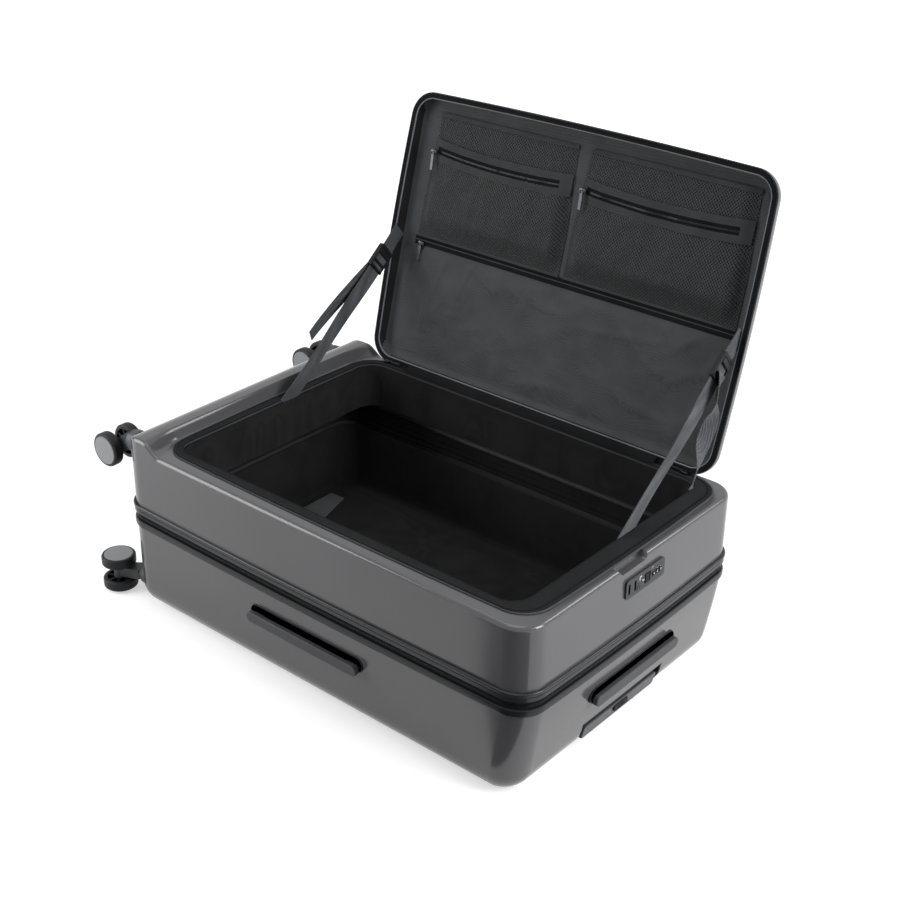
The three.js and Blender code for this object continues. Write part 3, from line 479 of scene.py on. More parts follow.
def placeCamera(sizes):
    azimuth, elevation = math.radians(sizes["azimuth"]), math.radians(sizes["elevation"])
    level = math.cos(elevation)
    back = Vector((math.sin(azimuth) * level, -math.cos(azimuth) * level, math.sin(elevation)))
    data = bpy.data.cameras.new("camera")
    data.lens = sizes["lens"]
    data.sensor_width = 36
    camera = bpy.data.objects.new("camera", data)
    bpy.context.collection.objects.link(camera)
    camera.location = Vector(sizes["place"]) * mm
    roll = Matrix.Rotation(math.radians(sizes["roll"]), 3, "Z")
    camera.rotation_euler = ((-back).to_track_quat("-Z", "Y").to_matrix() @ roll).to_euler()
    bpy.context.scene.camera = camera


def addSoftbox(name, place, aim, width, height, power):
    data = bpy.data.lights.new(name, "AREA")
    data.shape = "RECTANGLE"
    data.size, data.size_y = width, height
    data.energy = power
    lamp = bpy.data.objects.new(name, data)
    bpy.context.collection.objects.link(lamp)
    lamp.location = place
    lamp.rotation_euler = (Vector(aim) - Vector(place)).to_track_quat("-Z", "Y").to_euler()


# what the lamps leave to white on the paper, added only for rays that see or mirror it: how much
# near the case and far away, and the distances in metres between which it grows
floorGlow = {"near": 0.52, "far": 1.0, "start": 0.7, "end": 1.7}


def layFloor():
    deselectAll()
    bpy.ops.mesh.primitive_plane_add(size=30, location=(0, 0, -0.0005))
    floor = bpy.context.active_object
    floor.name = "floor"
    paper = bpy.data.materials.new("white_paper_floor")
    paper.use_nodes = True
    tree = paper.node_tree
    tree.nodes.remove(tree.nodes["Principled BSDF"])
    matt = addNode(paper, "ShaderNodeBsdfDiffuse", {"Color": colour("#cccccc")})
    rays = addNode(paper, "ShaderNodeLightPath")
    mirrored = calculate(paper, "MAXIMUM", rays.outputs["Is Glossy Ray"],
                         rays.outputs["Is Transmission Ray"])
    seen = calculate(paper, "MAXIMUM", rays.outputs["Is Camera Ray"], mirrored)
    away = addNode(paper, "ShaderNodeVectorMath", {0: objectPlace(paper)}, operation="LENGTH")
    glow = spread(paper, away.outputs["Value"], floorGlow["near"], floorGlow["far"],
                  floorGlow["start"], floorGlow["end"])
    share = calculate(paper, "MULTIPLY", seen, glow)
    white = addNode(paper, "ShaderNodeEmission", {"Color": (1, 1, 1, 1), "Strength": share})
    blend = addNode(paper, "ShaderNodeAddShader", {0: matt.outputs[0], 1: white.outputs[0]})
    output = tree.nodes["Material Output"]
    tree.links.new(blend.outputs[0], output.inputs["Surface"])
    floor.data.materials.append(paper)


flagCorners = ((270, -270), (0, -590), (100, -1000), (1000, -900), (700, -350), (430, -270))


def layFlag():
    # a black card on the floor before the near corner: the shell mirrors it, nothing else does
    card = meshPiece("black_flag", [(x, y, 0.5) for x, y in flagCorners],
                     [range(len(flagCorners))])
    card.data.transform(Matrix.Scale(mm, 4))
    card.data.materials.append(newMaterial("black_card", "#050505", 0.9, Specular_IOR_Level=0.0))
    card.visible_camera = card.visible_diffuse = False
    card.visible_shadow = card.visible_transmission = False


worldLevel = 0.24  # what the white room adds to rays that neither see nor mirror it
softboxes = (
    # name, place, aim, width and height in metres, watts
    ("end_softbox", (1.9, 0.25, 1.2), (0.3, 0, 0.15), 1.0, 1.2, 46),
    ("top_softbox", (-0.3, -0.3, 2.7), (0, 0, 0), 2.0, 1.6, 20),
    ("near_softbox", (-1.3, -1.1, 0.8), (-0.3, -0.2, 0.15), 1.0, 1.2, 24),
    ("edge_softbox", (1.6, 1.9, 1.9), (0.3, 0, 0.25), 0.6, 1.2, 18),
)


def lightRoom():
    world = bpy.data.worlds.new("white_room")
    bpy.context.scene.world = world
    world.use_nodes = True
    tree = world.node_tree
    back = tree.nodes["Background"]
    back.inputs["Color"].default_value = (1, 1, 1, 1)
    rays = tree.nodes.new("ShaderNodeLightPath")
    level = worldLevel
    for ray in ("Is Camera Ray", "Is Glossy Ray", "Is Transmission Ray"):
        most = tree.nodes.new("ShaderNodeMath")
        most.operation = "MAXIMUM"
        tree.links.new(rays.outputs[ray], most.inputs[0])
        if isinstance(level, float):
            most.inputs[1].default_value = level
        else:
            tree.links.new(level, most.inputs[1])
        level = most.outputs[0]
    tree.links.new(level, back.inputs["Strength"])
    for softbox in softboxes:
        addSoftbox(*softbox)


placeCamera(cameraSizes)
layFloor()
layFlag()
lightRoom()
bpy.context.scene.view_settings.view_transform = "Standard"
print("camera, floor and lights placed")


shell = {
    "length": 700, "width": 444, "wall": 2.5, "corner": 36, "bow": 3,
    "rearTop": 130, "backFillet": 34, "endTaper": 21, "taperCurve": 1.2,
    "frontBase": 162.1, "rim": 252.1, "ridge": 267.6, "rimFillet": 6,
    "crest": -306, "ridgeFoot": -294, "ridgeRound": 34,
}
halfLength, halfWidth = shell["length"] / 2, shell["width"] / 2
flatX, flatY = halfLength - shell["corner"], halfWidth - shell["corner"]  # where the corners begin
lidSize = {
    "start": -288, "end": 316, "hingeY": 208, "hingeZ": 254.2, "height": 404, "depth": 22,
    "corner": 38, "fillet": 17, "edgeInset": 0.5, "lip": 9, "openAngle": 105,
}
lidTurn = (Matrix.Translation((0, lidSize["hingeY"], lidSize["hingeZ"]))
           @ Matrix.Rotation(math.radians(-lidSize["openAngle"]), 4, "X"))


def swell(t):
    return 4 * t * (1 - t)


def upright(a, b):
    return abs(a.x - b.x) < 1e-3 and abs(a.y - b.y) < 1e-3


def roundedOutline(x0, x1, y0, y1, radius, steps=10, bow=0.0, between=8):
    # anticlockwise seen from above, from the near corner of the +X end
    corners = [(x1 - radius, y0 + radius, -90), (x1 - radius, y1 - radius, 0),
               (x0 + radius, y1 - radius, 90), (x0 + radius, y0 + radius, 180)]
    points = []
    for side, (cx, cy, start) in enumerate(corners):
        for i in range(steps + 1):
            angle = math.radians(start + 90 * i / steps)
            points.append((cx + radius * math.cos(angle), cy + radius * math.sin(angle)))
        nx, ny, following = corners[(side + 1) % 4]
        first = points[-1]
        last = (nx + radius * math.cos(math.radians(following)),
                ny + radius * math.sin(math.radians(following)))
        out = (math.cos(math.radians(start + 90)), math.sin(math.radians(start + 90)))
        for i in range(1, between):
            t = i / between
            points.append((first[0] + (last[0] - first[0]) * t + out[0] * bow * swell(t),
                           first[1] + (last[1] - first[1]) * t + out[1] * bow * swell(t)))
    return points


def bowed(p, bow):
    # each wall swells by up to bow in the middle of its straight part
    x, y = p.x, p.y
    if abs(p.y) > flatY and abs(p.x) <= flatX:
        y += math.copysign(bow * swell((p.x + flatX) / (2 * flatX)), p.y)
    if abs(p.x) > flatX and abs(p.y) <= flatY:
        x += math.copysign(bow * swell((p.y + flatY) / (2 * flatY)), p.x)
    return x, y


def rearRule(p):
    # the handle end leans in towards the back, and the long walls swell towards the rim
    share = max(0.0, 1 - p.z / shell["rearTop"])
    x, y = bowed(p, shell["bow"] * (1 - share))
    if p.x > 0:
        x -= shell["endTaper"] * share ** shell["taperCurve"] * min(1.0, p.x / flatX)
    return Vector((x, y, p.z))


def bay(name, box, axis, depth):
    # a round-ended cutter through a wall
    low, high = list(box[0]), list(box[1])
    along = "xyz".index(axis)
    low[along], high[along] = depth
    height = high[2] - low[2]
    return roundBlock(name, low, high, axis, height / 2 - 0.01, segments=12)


def nodeBox(node):
    low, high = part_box(node)
    return [v / mm for v in low], [v / mm for v in high]


handle = {
    "level": 89, "height": 15, "thick": 7, "rim": 1.3, "leg": 20, "legHeight": 9, "reach": -5,
    "bridge": 11, "bayWall": 1.5, "bayLow": 81, "bayHigh": 104,
}


def bayBox(side):
    # the finger recess: as long as the grip, and open above it
    low, high = nodeBox(side + "_handle_housing")
    along = 0 if side == "side" else 1
    low[along] += handle["bridge"]
    high[along] -= handle["bridge"]
    low[2], high[2] = handle["bayLow"], handle["bayHigh"]
    return low, high


def grown(box, by):
    return [v - by for v in box[0]], [v + by for v in box[1]]


fit = 0.3  # the gap between a moulded piece and the hole it sits in
# what the caster housing takes out of a shell's corner, seen from the side: depths along X and Z
wedge = {"foot": 12, "bend": (8, 24), "top": (4, 80), "width": 66, "beyond": 60}


def wedgeCutter(name, level, up, far):
    beyond = wedge["beyond"]
    (bendX, bendZ), (topX, topZ) = wedge["bend"], wedge["top"]
    outline = [(-beyond, -beyond), (wedge["foot"] + fit, -beyond), (wedge["foot"] + fit, -fit),
               (bendX + fit, bendZ), (topX + fit, topZ + fit), (-beyond, topZ + fit)]
    inner, outer = halfWidth - wedge["width"] - fit, halfWidth + beyond
    y0, y1 = (inner, outer) if far else (-outer, -inner)
    front = [(-halfLength + x, y0, level - up * z) for x, z in outline]
    back = [(x, y1, z) for x, _, z in front]
    count = len(outline)
    faces = [list(range(count)), list(range(2 * count - 1, count - 1, -1))]
    faces += [[i, count + i, count + (i + 1) % count, (i + 1) % count] for i in range(count)]
    return faceOutward(meshPiece(name, front + back, faces))


def makeRearShell():
    piece = addBlock("rear_shell_drawn", (-halfLength, -halfWidth, 0),
                     (halfLength, halfWidth, shell["rearTop"]))
    bevelEdges(piece, upright, shell["corner"], 14)
    bevelEdges(piece, lambda a, b: a.z < 1 and b.z < 1, shell["backFillet"], 10)
    sliceAt(piece, "x", [-flatX + flatX * i / 6 for i in range(1, 12)])
    sliceAt(piece, "y", [-flatY + flatY * i / 4 for i in range(1, 8)])
    sliceAt(piece, "z", [shell["backFillet"] + 12 * i for i in range(1, 8)])
    moveVertices(piece, rearRule)
    deleteFaces(piece, lambda c, n: c.z > shell["rearTop"] - 0.01)
    applyModifier(piece, "SOLIDIFY", thickness=shell["wall"], offset=-1, use_even_offset=True)
    combine(piece, bay("side_bay", grown(bayBox("side"), fit), "y", (-300, -200)))
    combine(piece, bay("top_bay", grown(bayBox("top"), fit), "x", (310, 400)))
    low, high = grown(nodeBox("trolley_cup"), fit)
    combine(piece, addBlock("cup_room", (low[0], low[1], -20), (400, high[1], high[2])))
    for far in (False, True):
        combine(piece, wedgeCutter("corner_room", 0, -1, far))
    return finish(piece, "rear_case", graphiteShell, ["rear_shell"],
                  angle=28)


def topDrop(x, y):
    # how far the rim lies below the ridge; their slope runs back around the lid's corners
    turn = min(1.0, max(0.0, (abs(y) - 165) / 57)) ** 2
    foot, crest = shell["ridgeFoot"] + 24 * turn, shell["crest"] + 3 * turn
    t = min(1.0, max(0.0, (foot - x) / (foot - crest)))
    return (shell["ridge"] - shell["rim"]) * (1 - t * t * (3 - 2 * t))


def frontRule(p):
    z = p.z
    if z > shell["ridge"] - shell["rimFillet"] - 0.01:
        z -= topDrop(p.x, p.y)
    elif z > 220:
        z -= topDrop(p.x, p.y) * (z - 220) / (shell["ridge"] - shell["rimFillet"] - 220)
    # the ridge's outer edge rolls over into the end wall
    radius = shell["ridgeRound"]
    reach = radius - min(radius, max(0.0, p.x + halfLength))
    z = min(z, shell["ridge"] - radius + math.sqrt(radius * radius - reach * reach))
    share = min(1.0, max(0.0, (shell["rim"] - z) / (shell["rim"] - shell["frontBase"])))
    x, y = bowed(p, shell["bow"] * share)
    return Vector((x, y, z))


def loftRings(name, rings, closed=False):
    # rings of as many points each, joined by quads; closed joins the last ring to the first
    count = len(rings[0])
    points = [p for ring in rings for p in ring]
    faces = []
    for r in range(len(rings) if closed else len(rings) - 1):
        low, high = r * count, ((r + 1) % len(rings)) * count
        faces += [(low + c, low + (c + 1) % count, high + (c + 1) % count, high + c)
                  for c in range(count)]
    return meshPiece(name, points, faces)


def caseRing(z, inset):
    outline = roundedOutline(-halfLength + inset, halfLength - inset,
                             -halfWidth + inset, halfWidth - inset,
                             max(shell["corner"] - inset, 10), 14, shell["bow"])
    return [(x, y, z) for x, y in outline]


def makeFrontShell():
    low = (-halfLength, -halfWidth, shell["frontBase"])
    high = (halfLength, halfWidth, shell["ridge"])
    piece = addBlock("front_shell_drawn", low, high)
    bevelEdges(piece, upright, shell["corner"], 14)
    bevelEdges(piece, lambda a, b: a.z > high[2] - 1 and b.z > high[2] - 1, shell["rimFillet"], 6)
    sliceAt(piece, "x", [-halfLength + e for e in (12, 16, 20, 25, 30, 34, 38)]
            + [shell["crest"] + 2.5 * i for i in range(16)]
            + [-flatX + flatX * i / 6 for i in range(2, 12)])
    sliceAt(piece, "y", [-flatY + flatY * i / 4 for i in range(1, 8)]
            + [sign * y for sign in (-1, 1) for y in (165, 172, 179, 186, 193, 200, 207)])
    sliceAt(piece, "z", [180, 200, 220, 235, 250])
    moveVertices(piece, frontRule)
    makeActive(piece)
    bpy.ops.object.mode_set(mode="EDIT")
    bpy.ops.mesh.select_all(action="SELECT")
    bpy.ops.mesh.remove_doubles(threshold=0.05)
    bpy.ops.object.mode_set(mode="OBJECT")
    x0, x1 = lidSize["start"] + lidSize["lip"], lidSize["end"] - lidSize["lip"]
    y0 = lidSize["hingeY"] - lidSize["height"] + lidSize["lip"]
    y1 = lidSize["hingeY"] - lidSize["lip"]
    floor = shell["rim"] - 5
    combine(piece, roundBlock("opening", (x0, y0, floor), (x1, y1, 300), "z",
                              lidSize["corner"] - lidSize["lip"]))
    combine(piece, notchCutter())
    deleteFaces(piece, lambda c, n: c.z < low[2] + 0.01 or abs(c.z - floor) < 0.01 or (
        abs(n.z) < 0.3 and c.z > floor and x0 - 0.1 < c.x < x1 + 0.1 and y0 - 0.1 < c.y < y1 + 0.1))
    applyModifier(piece, "SOLIDIFY", thickness=shell["wall"], offset=-1, use_even_offset=True)
    lockRoom = nodeBox("lock_body")
    combine(piece, roundBlock("lock_room", (310, lockRoom[0][1] + 2.7, lockRoom[0][2] + 2.7),
                              (400, lockRoom[1][1] - 2.7, lockRoom[1][2] - 2.7), "x", 3))
    for far in (False, True):
        combine(piece, wedgeCutter("corner_room", shell["ridge"], 1, far), folded=True)
    return finish(piece, "front_case", graphiteShell, ["front_shell"],
                  angle=28)


# the finger notch in the rim, beside the lock
notch = {"length": 50, "depth": 8, "flare": 8, "shift": -16, "start": 336.3}


def notchCutter():
    half, level = notch["length"] / 2, shell["rim"]
    side = [(-half - notch["flare"], level + 3), (-half, level - notch["depth"]),
            (half, level - notch["depth"]), (half + notch["flare"], level + 3)]
    front = [(notch["start"], y + notch["shift"], z) for y, z in side]
    back = [(400, y, z) for _, y, z in front]
    cutter = faceOutward(meshPiece("notch_room", front + back, blockFaces))
    bevelEdges(cutter, lambda a, b: max(a.z, b.z) < level - 1 and abs(a.x - b.x) > 1, 2.5, 4)
    return cutter


makeRearShell()
makeFrontShell()
print("shells made")


band = {
    "rearTrim": (130.3, 141.3), "rearTape": (141.6, 146.1), "frontTape": (146.4, 150.9),
    "frontTrim": (151.2, 159.2, 161.8), "stand": 3, "edge": 2.2, "toothPitch": 2.4, "lip": 5.2,
    "rearTeeth": 145.4, "frontTeeth": 147.1,
}


def makeTrims():
    low, high = band["rearTrim"]
    edge, stand = band["edge"], -band["stand"]
    rim = [(low, 6), (low, stand + edge), (low + edge * 0.3, stand + edge * 0.3),
           (low + edge, stand), (high - edge, stand),
           (high - edge * 0.3, stand + edge * 0.3), (high, stand + edge), (high, 6)]
    piece = loftRings("rear_trim_moulded", [caseRing(z, inset) for z, inset in rim], closed=True)
    finish(piece, "rear_case", darkTrim, ["rear_trim"], angle=40)
    low, high, top = band["frontTrim"]
    # a flat strip, a groove and a round bead whose lip lies over the shell's foot
    bead = high + band["lip"]
    rim = [(low, 6), (low, stand + edge * 0.5), (low + edge * 0.5, stand), (high - 1.6, stand),
           (high - 1.3, stand + 0.6), (high - 0.5, stand + 0.6), (high - 0.2, stand - 0.2),
           (high + 0.9, stand - 0.9), (bead - 1.6, stand - 0.9), (bead - 0.5, stand - 0.3),
           (bead, stand + 0.9), (bead, -0.25), (top + 0.3, -0.25), (top, 1.5), (top, 6)]
    piece = loftRings("front_trim_moulded", [caseRing(z, inset) for z, inset in rim], closed=True)
    finish(piece, "front_case", graphiteTrim, ["front_trim"], angle=40)


def makeZipHalf(name, levels, toothLevel, body, node):
    low, high = levels
    middle = (low + high) / 2
    rim = [(low, 3), (low, 0.4), (middle, 0), (high, 0.4), (high, 3)]
    tape = loftRings(name, [caseRing(z, inset) for z, inset in rim], closed=True)
    finish(tape, body, zipTape, [node], angle=40)
    path = [Vector(p) for p in caseRing(toothLevel, -0.2)]
    teeth = toothRow(name + "_teeth", path, band["toothPitch"], (1.5, 2.0, 1.5))
    finish(teeth, body, coilNylon, angle=50, weighted=False)


# a tooth's corners as shares of its size along, up and out, narrower on the outside
toothShares = ((-0.5, -0.5, -0.2), (0.5, -0.5, -0.2), (0.5, 0.5, -0.2), (-0.5, 0.5, -0.2),
               (-0.3, -0.5, 0.5), (0.3, -0.5, 0.5), (0.3, 0.5, 0.5), (-0.3, 0.5, 0.5))


def toothRow(name, path, pitch, size, closed=True, shift=0.0, normal=(0, 0, 1)):
    # one small rounded loop of coil every pitch along the path, size = along, up, out
    if closed:
        path = path + [path[0]]
    up = Vector(normal)
    points, faces = [], []
    left = pitch * (0.5 + shift)
    for a, b in zip(path, path[1:]):
        step = b - a
        length = step.length
        if length < 1e-6:
            continue
        along = step / length
        out = along.cross(up).normalized()
        while left <= length:
            middle = a + along * left
            first = len(points)
            for share in toothShares:
                a1, u1, o1 = [part * whole for part, whole in zip(share, size)]
                points.append(middle + along * a1 + up * u1 + out * o1)
            faces += [[first + i for i in quad] for quad in blockFaces]
            left += pitch
        left -= length
    return meshPiece(name, points, faces)


makeTrims()
makeZipHalf("rear_zip_half", band["rearTape"], band["rearTeeth"], "rear_case", "rear_zip_tape")
makeZipHalf("front_zip_half", band["frontTape"], band["frontTeeth"], "front_case", "front_zip_tape")
print("band made")


def lidOutline(inset):
    return roundedOutline(lidSize["start"] + inset, lidSize["end"] - inset,
                          -lidSize["height"] + inset, -inset, lidSize["corner"] - inset, 12, 0)


def lidRule(p):
    # the free sides swell by 3 mm and the hinge side stays straight
    x0, x1 = lidSize["start"] + lidSize["corner"], lidSize["end"] - lidSize["corner"]
    y0, y1 = -lidSize["height"] + lidSize["corner"], -lidSize["corner"]
    x, y = p.x, p.y
    if p.y < y0 and x0 < p.x < x1:
        y -= shell["bow"] * swell((p.x - x0) / (x1 - x0))
    if y0 < p.y < y1 and not x0 < p.x < x1:
        x += math.copysign(shell["bow"] * swell((p.y - y0) / (y1 - y0)), p.x - (x0 + x1) / 2)
    return Vector((x, y, p.z))


def makeLidShell():
    e = lidSize["edgeInset"]
    piece = addBlock("lid_shell_drawn", (lidSize["start"] + e, -lidSize["height"] + e, 1.6),
                     (lidSize["end"] - e, -e, lidSize["depth"]))
    bevelEdges(piece, upright, lidSize["corner"] - e, 14)
    bevelEdges(piece, lambda a, b: min(a.z, b.z) > lidSize["depth"] - 1, lidSize["fillet"], 7)
    x0, x1 = lidSize["start"] + lidSize["corner"], lidSize["end"] - lidSize["corner"]
    y0, y1 = -lidSize["height"] + lidSize["corner"], -lidSize["corner"]
    sliceAt(piece, "x", [x0 + (x1 - x0) * i / 12 for i in range(1, 12)])
    sliceAt(piece, "y", [y0 + (y1 - y0) * i / 8 for i in range(1, 8)])
    moveVertices(piece, lidRule)
    deleteFaces(piece, lambda c, n: c.z < 1.61)
    applyModifier(piece, "SOLIDIFY", thickness=shell["wall"], offset=-1, use_even_offset=True)
    piece.data.transform(lidTurn)
    return finish(piece, "lid", graphiteShell, ["lid_shell"], angle=28)


makeLidShell()
print("lid shell made")


def fold(x, y, angle, length, width, seed):
    # soft folds of cloth that run along angle, about length by width millimetres
    c, s = math.cos(math.radians(angle)), math.sin(math.radians(angle))
    return noise3.noise(Vector(((x * c + y * s) / length, (y * c - x * s) / width, seed)))


def crease(x, y, angle, length, width, seed, sharp=5.0):
    return max(0.0, 1 - sharp * abs(fold(x, y, angle, length, width, seed))) ** 2


def rampUp(value, low, high):
    t = min(1.0, max(0.0, (value - low) / (high - low)))
    return t * t * (3 - 2 * t)


lidInside = {
    "face": 18.2, "pipingRadius": 1.1, "softFold": 2.4, "crease": 2.24, "flat": (0.46, 0.66),
    # from the rim to the face: insets and depths
    "profile": [(3.9, 1.7), (4.5, 3.2), (5.2, 5), (5.8, 7.8), (6.7, 10.4), (8.4, 13.2),
                (11, 15.6), (14.5, 17.4)],
}


def lidFaceAt(x, h):
    # depth of the lining's face behind the lid's edge, wrinkled where no pocket covers it
    x0, x1 = lidSize["start"], lidSize["end"]
    edge = min(x - x0, x1 - x, h, lidSize["height"] - h)
    free = rampUp(edge, 12, 40) * max(1 - rampUp(h, 168, 182), rampUp(h, 378, 386))
    soft = fold(x, h, 58, 120, 42, 3.1) + 0.6 * fold(x, h, -35, 90, 30, 8.4)
    lines = crease(x, h, 62, 150, 46, 5.2) + 0.8 * crease(x, h, -50, 110, 60, 1.7) \
        + 0.7 * crease(x, h, 15, 160, 50, 11.3)
    rise = lidInside["softFold"] * (soft + 0.6) + lidInside["crease"] * lines
    return lidInside["face"] - free * rise


def lidRingAt(inset, depth):
    x0, x1 = lidSize["start"] + inset, lidSize["end"] - inset
    y0, y1 = -lidSize["height"] + inset, -inset
    radius = min(max(lidSize["corner"] - inset, 8), (y1 - y0) / 2 - 0.01)
    outline = roundedOutline(x0, x1, y0, y1, radius, 12, 0, 40)
    if depth is None:
        return [(x, y, lidFaceAt(x, -y)) for x, y in outline]
    return [(x, y, depth) for x, y in outline]


def makeLidLining():
    rings = [lidRingAt(inset, depth) for inset, depth in lidInside["profile"]]
    rings += [lidRingAt(inset, None) for inset in np.arange(18, 203, 3.7)]
    piece = loftRings("lid_lining_cloth", rings)
    count = len(rings[0])
    addFaces(piece, [range(count * (len(rings) - 1), count * len(rings))])
    for polygon in piece.data.polygons:
        polygon.use_smooth = True
    applyModifier(piece, "SOLIDIFY", thickness=0.8, offset=0)
    piece.data.transform(lidTurn)
    finish(piece, "lid", liningCloth, ["lid_lining"], angle=60, weighted=False)
    # its walls take the lining cloth painted nearly black: painted shade on the lid's deep walls
    piece.data.materials.append(shadedLining)
    back = lidTurn.inverted()
    x0, x1 = lidSize["start"] + 12, lidSize["end"] - 12
    for polygon in piece.data.polygons:
        local = back @ (polygon.center / mm)
        if not (x0 < local.x < x1 and -lidSize["height"] + 9 < local.y < -9):
            polygon.material_index = 1


def makeLidTape():
    # the lid's half of the zip: a tape around the edge, a coil outside it and piping inside it
    rim = [(0.9, 0.5), (0.6, 1.0), (0.9, 1.5), (8.6, 1.5), (9, 1.0), (8.6, 0.5)]
    rings = [[(x, y, z) for x, y in lidOutline(inset)] for inset, z in rim]
    tape = loftRings("lid_zip_tape", rings, closed=True)
    moveVertices(tape, lidRule)
    tape.data.transform(lidTurn)
    finish(tape, "lid", zipTape, angle=40)
    path = [lidRule(Vector((x, y, 0.4))) for x, y in lidOutline(1.6)]
    teeth = toothRow("lid_zip_teeth", path, 2.4, (1.5, 1.4, 1.8), shift=0.25)
    teeth.data.transform(lidTurn)
    finish(teeth, "lid", coilNylon, angle=50, weighted=False)
    radius = lidInside["pipingRadius"]
    rings = []
    for i in range(8):
        angle = 2 * math.pi * i / 8
        rings.append([lidRule(Vector((x, y, 1.4 + radius * math.sin(angle))))
                      for x, y in lidOutline(9.2 + radius * math.cos(angle))])
    piping = loftRings("lid_piping", rings, closed=True)
    piping.data.transform(lidTurn)
    finish(piping, "lid", pipingCloth, angle=60)


pocket = {
    "left": (-250, 8), "right": (16, 292), "bottom": 197, "top": 375,
    "zip": 320, "zipWidth": 31, "sag": 6.5, "deep": 11.5, "columns": 72, "rows": 48,
}


def pocketDepth(x, h, x0, x1):
    # how far the net stands off the lining: slack and full low down, flat at its seams
    t = (x - x0) / (x1 - x0)
    k = (h - pocket["bottom"]) / (pocket["top"] - pocket["bottom"])
    side = rampUp(min(x - x0, x1 - x), 0, 22)
    low = rampUp(k, 0, 0.2)
    high = 1 - 0.78 * rampUp(k, 0.3, 0.95)
    body = pocket["deep"] * low * high * (0.72 + 0.28 * swell(min(1, max(0, t))))
    ripple = 1.7 * fold(x, h, 55, 90, 26, 2.2) + 1.3 * fold(x, h, -52, 80, 28, 7.7) \
        + 1.4 * crease(x, h, 70 if t < 0.5 else 115, 120, 50, 4.4)
    return 0.9 + side * (body + ripple * low * (1 - 0.5 * rampUp(k, 0.55, 0.8)))


def pocketPoint(x, h, off, span):
    # sagging sides: the net hangs wider low down than at its top hem
    x0, x1 = span
    t = (x - x0) / (x1 - x0)
    k = (h - pocket["bottom"]) / (pocket["top"] - pocket["bottom"])
    pull = 7 * rampUp(k, 0.25, 1) * (1 - 2 * t)
    depth = lidInside["face"] - 0.5 - pocketDepth(x, h, x0, x1) - off
    return Vector((x + pull * abs(1 - 2 * t), -h, depth))


def makePocket(side):
    span = pocket[side]
    x0, x1 = span
    columns = pocket["columns"]
    rows = []
    for r in range(pocket["rows"] + 1):
        h = pocket["bottom"] + (pocket["top"] - pocket["bottom"]) * r / pocket["rows"]
        rows.append([pocketPoint(x0 + (x1 - x0) * c / columns, h, 0, span)
                     for c in range(columns + 1)])
    net = clothGrid("pocket_net_" + side, rows)
    applyModifier(net, "SOLIDIFY", thickness=0.6, offset=0)
    net.data.transform(lidTurn)
    finish(net, "lid", pocketNet, ["mesh_pocket_" + side], angle=60, weighted=False)
    hems = []
    for name, inner, outer in (("bottom", -1.5, 1.5), ("top", -3.5, 2.5)):
        path = [pocketPoint(x, pocket[name], 1.0, span) for x in np.linspace(x0, x1, 60)]
        hems.append(tapeAlong("hem", path, inner, outer, 1.0))
    zipParts = makePocketZip(side, span)
    hem = joinPieces("pocket_hem_" + side, hems)
    hem.data.transform(lidTurn)
    finish(hem, "lid", pocketTape, angle=40)


def tapeAlong(name, path, low, high, thick):
    # a flat band on the lid's face along a path: from low to high above it, thick millimetres out
    up, out = Vector((0, -1, 0)), Vector((0, 0, -1))
    half = thick / 2
    rings = []
    for across, stand in ((low, -half), (low, half), (high, half), (high, -half)):
        rings.append([Vector(p) + up * across + out * stand for p in path])
    count = len(path)
    points = [p for ring in rings for p in ring]
    faces = []
    for r in range(4):
        a, b = r * count, ((r + 1) % 4) * count
        faces += [(a + c, b + c, b + c + 1, a + c + 1) for c in range(count - 1)]
    faces += [(0, count, 2 * count, 3 * count), tuple(count * (4 - r) - 1 for r in range(4))]
    return faceOutward(meshPiece(name, points, faces))


def zipLevel(x, span):
    t = (x - span[0]) / (span[1] - span[0])
    return pocket["zip"] + 2 - pocket["sag"] * swell(t) + (3 if span[0] < 0 else 0) * (1 - t)


def makePocketZip(side, span):
    x0, x1 = span
    half = pocket["zipWidth"] / 2
    xs = np.linspace(x0 + 1, x1 - 1, 80)
    centre = [pocketPoint(x, zipLevel(x, span), 1.0, span) for x in xs]
    base = tapeAlong("zip_channel_" + side, centre, -half + 1, half - 1, 0.8)
    lower = tapeAlong("lower", [p + Vector((0, 0, -0.9)) for p in centre], -half, -half + 10, 1.2)
    upper = tapeAlong("upper", [p + Vector((0, 0, -0.9)) for p in centre], half - 10, half, 1.2)
    ends = []
    for near, far in ((x0 + 1, x0 + 9), (x1 - 20, x1 - 1)):
        path = [pocketPoint(x, zipLevel(x, span), 1.9, span) for x in np.linspace(near, far, 8)]
        ends.append(tapeAlong("end", path, -half + 4, half - 4, 1.3))
    tapes = joinPieces("pocket_zip_tapes_" + side, [lower, upper] + ends)
    tapes.data.transform(lidTurn)
    finish(tapes, "lid", pocketTape, angle=40)
    path = [pocketPoint(x, zipLevel(x, span), 2.0, span) for x in np.linspace(x0 + 10, x1 - 20, 80)]
    teeth = toothRow("pocket_zip_teeth_" + side, path, 2.2, (1.3, 1.2, 3.4), closed=False,
                     normal=(0, 0, -1))
    teeth.data.transform(lidTurn)
    finish(teeth, "lid", coilNylon, angle=50, weighted=False)
    base.data.transform(lidTurn)
    finish(base, "lid", zipTape, angle=40)
    return [tapes, teeth, base]


sliderPinch, pullWaist = 0.72, 0.78  # how far a slider's nose and its pull's middle narrow


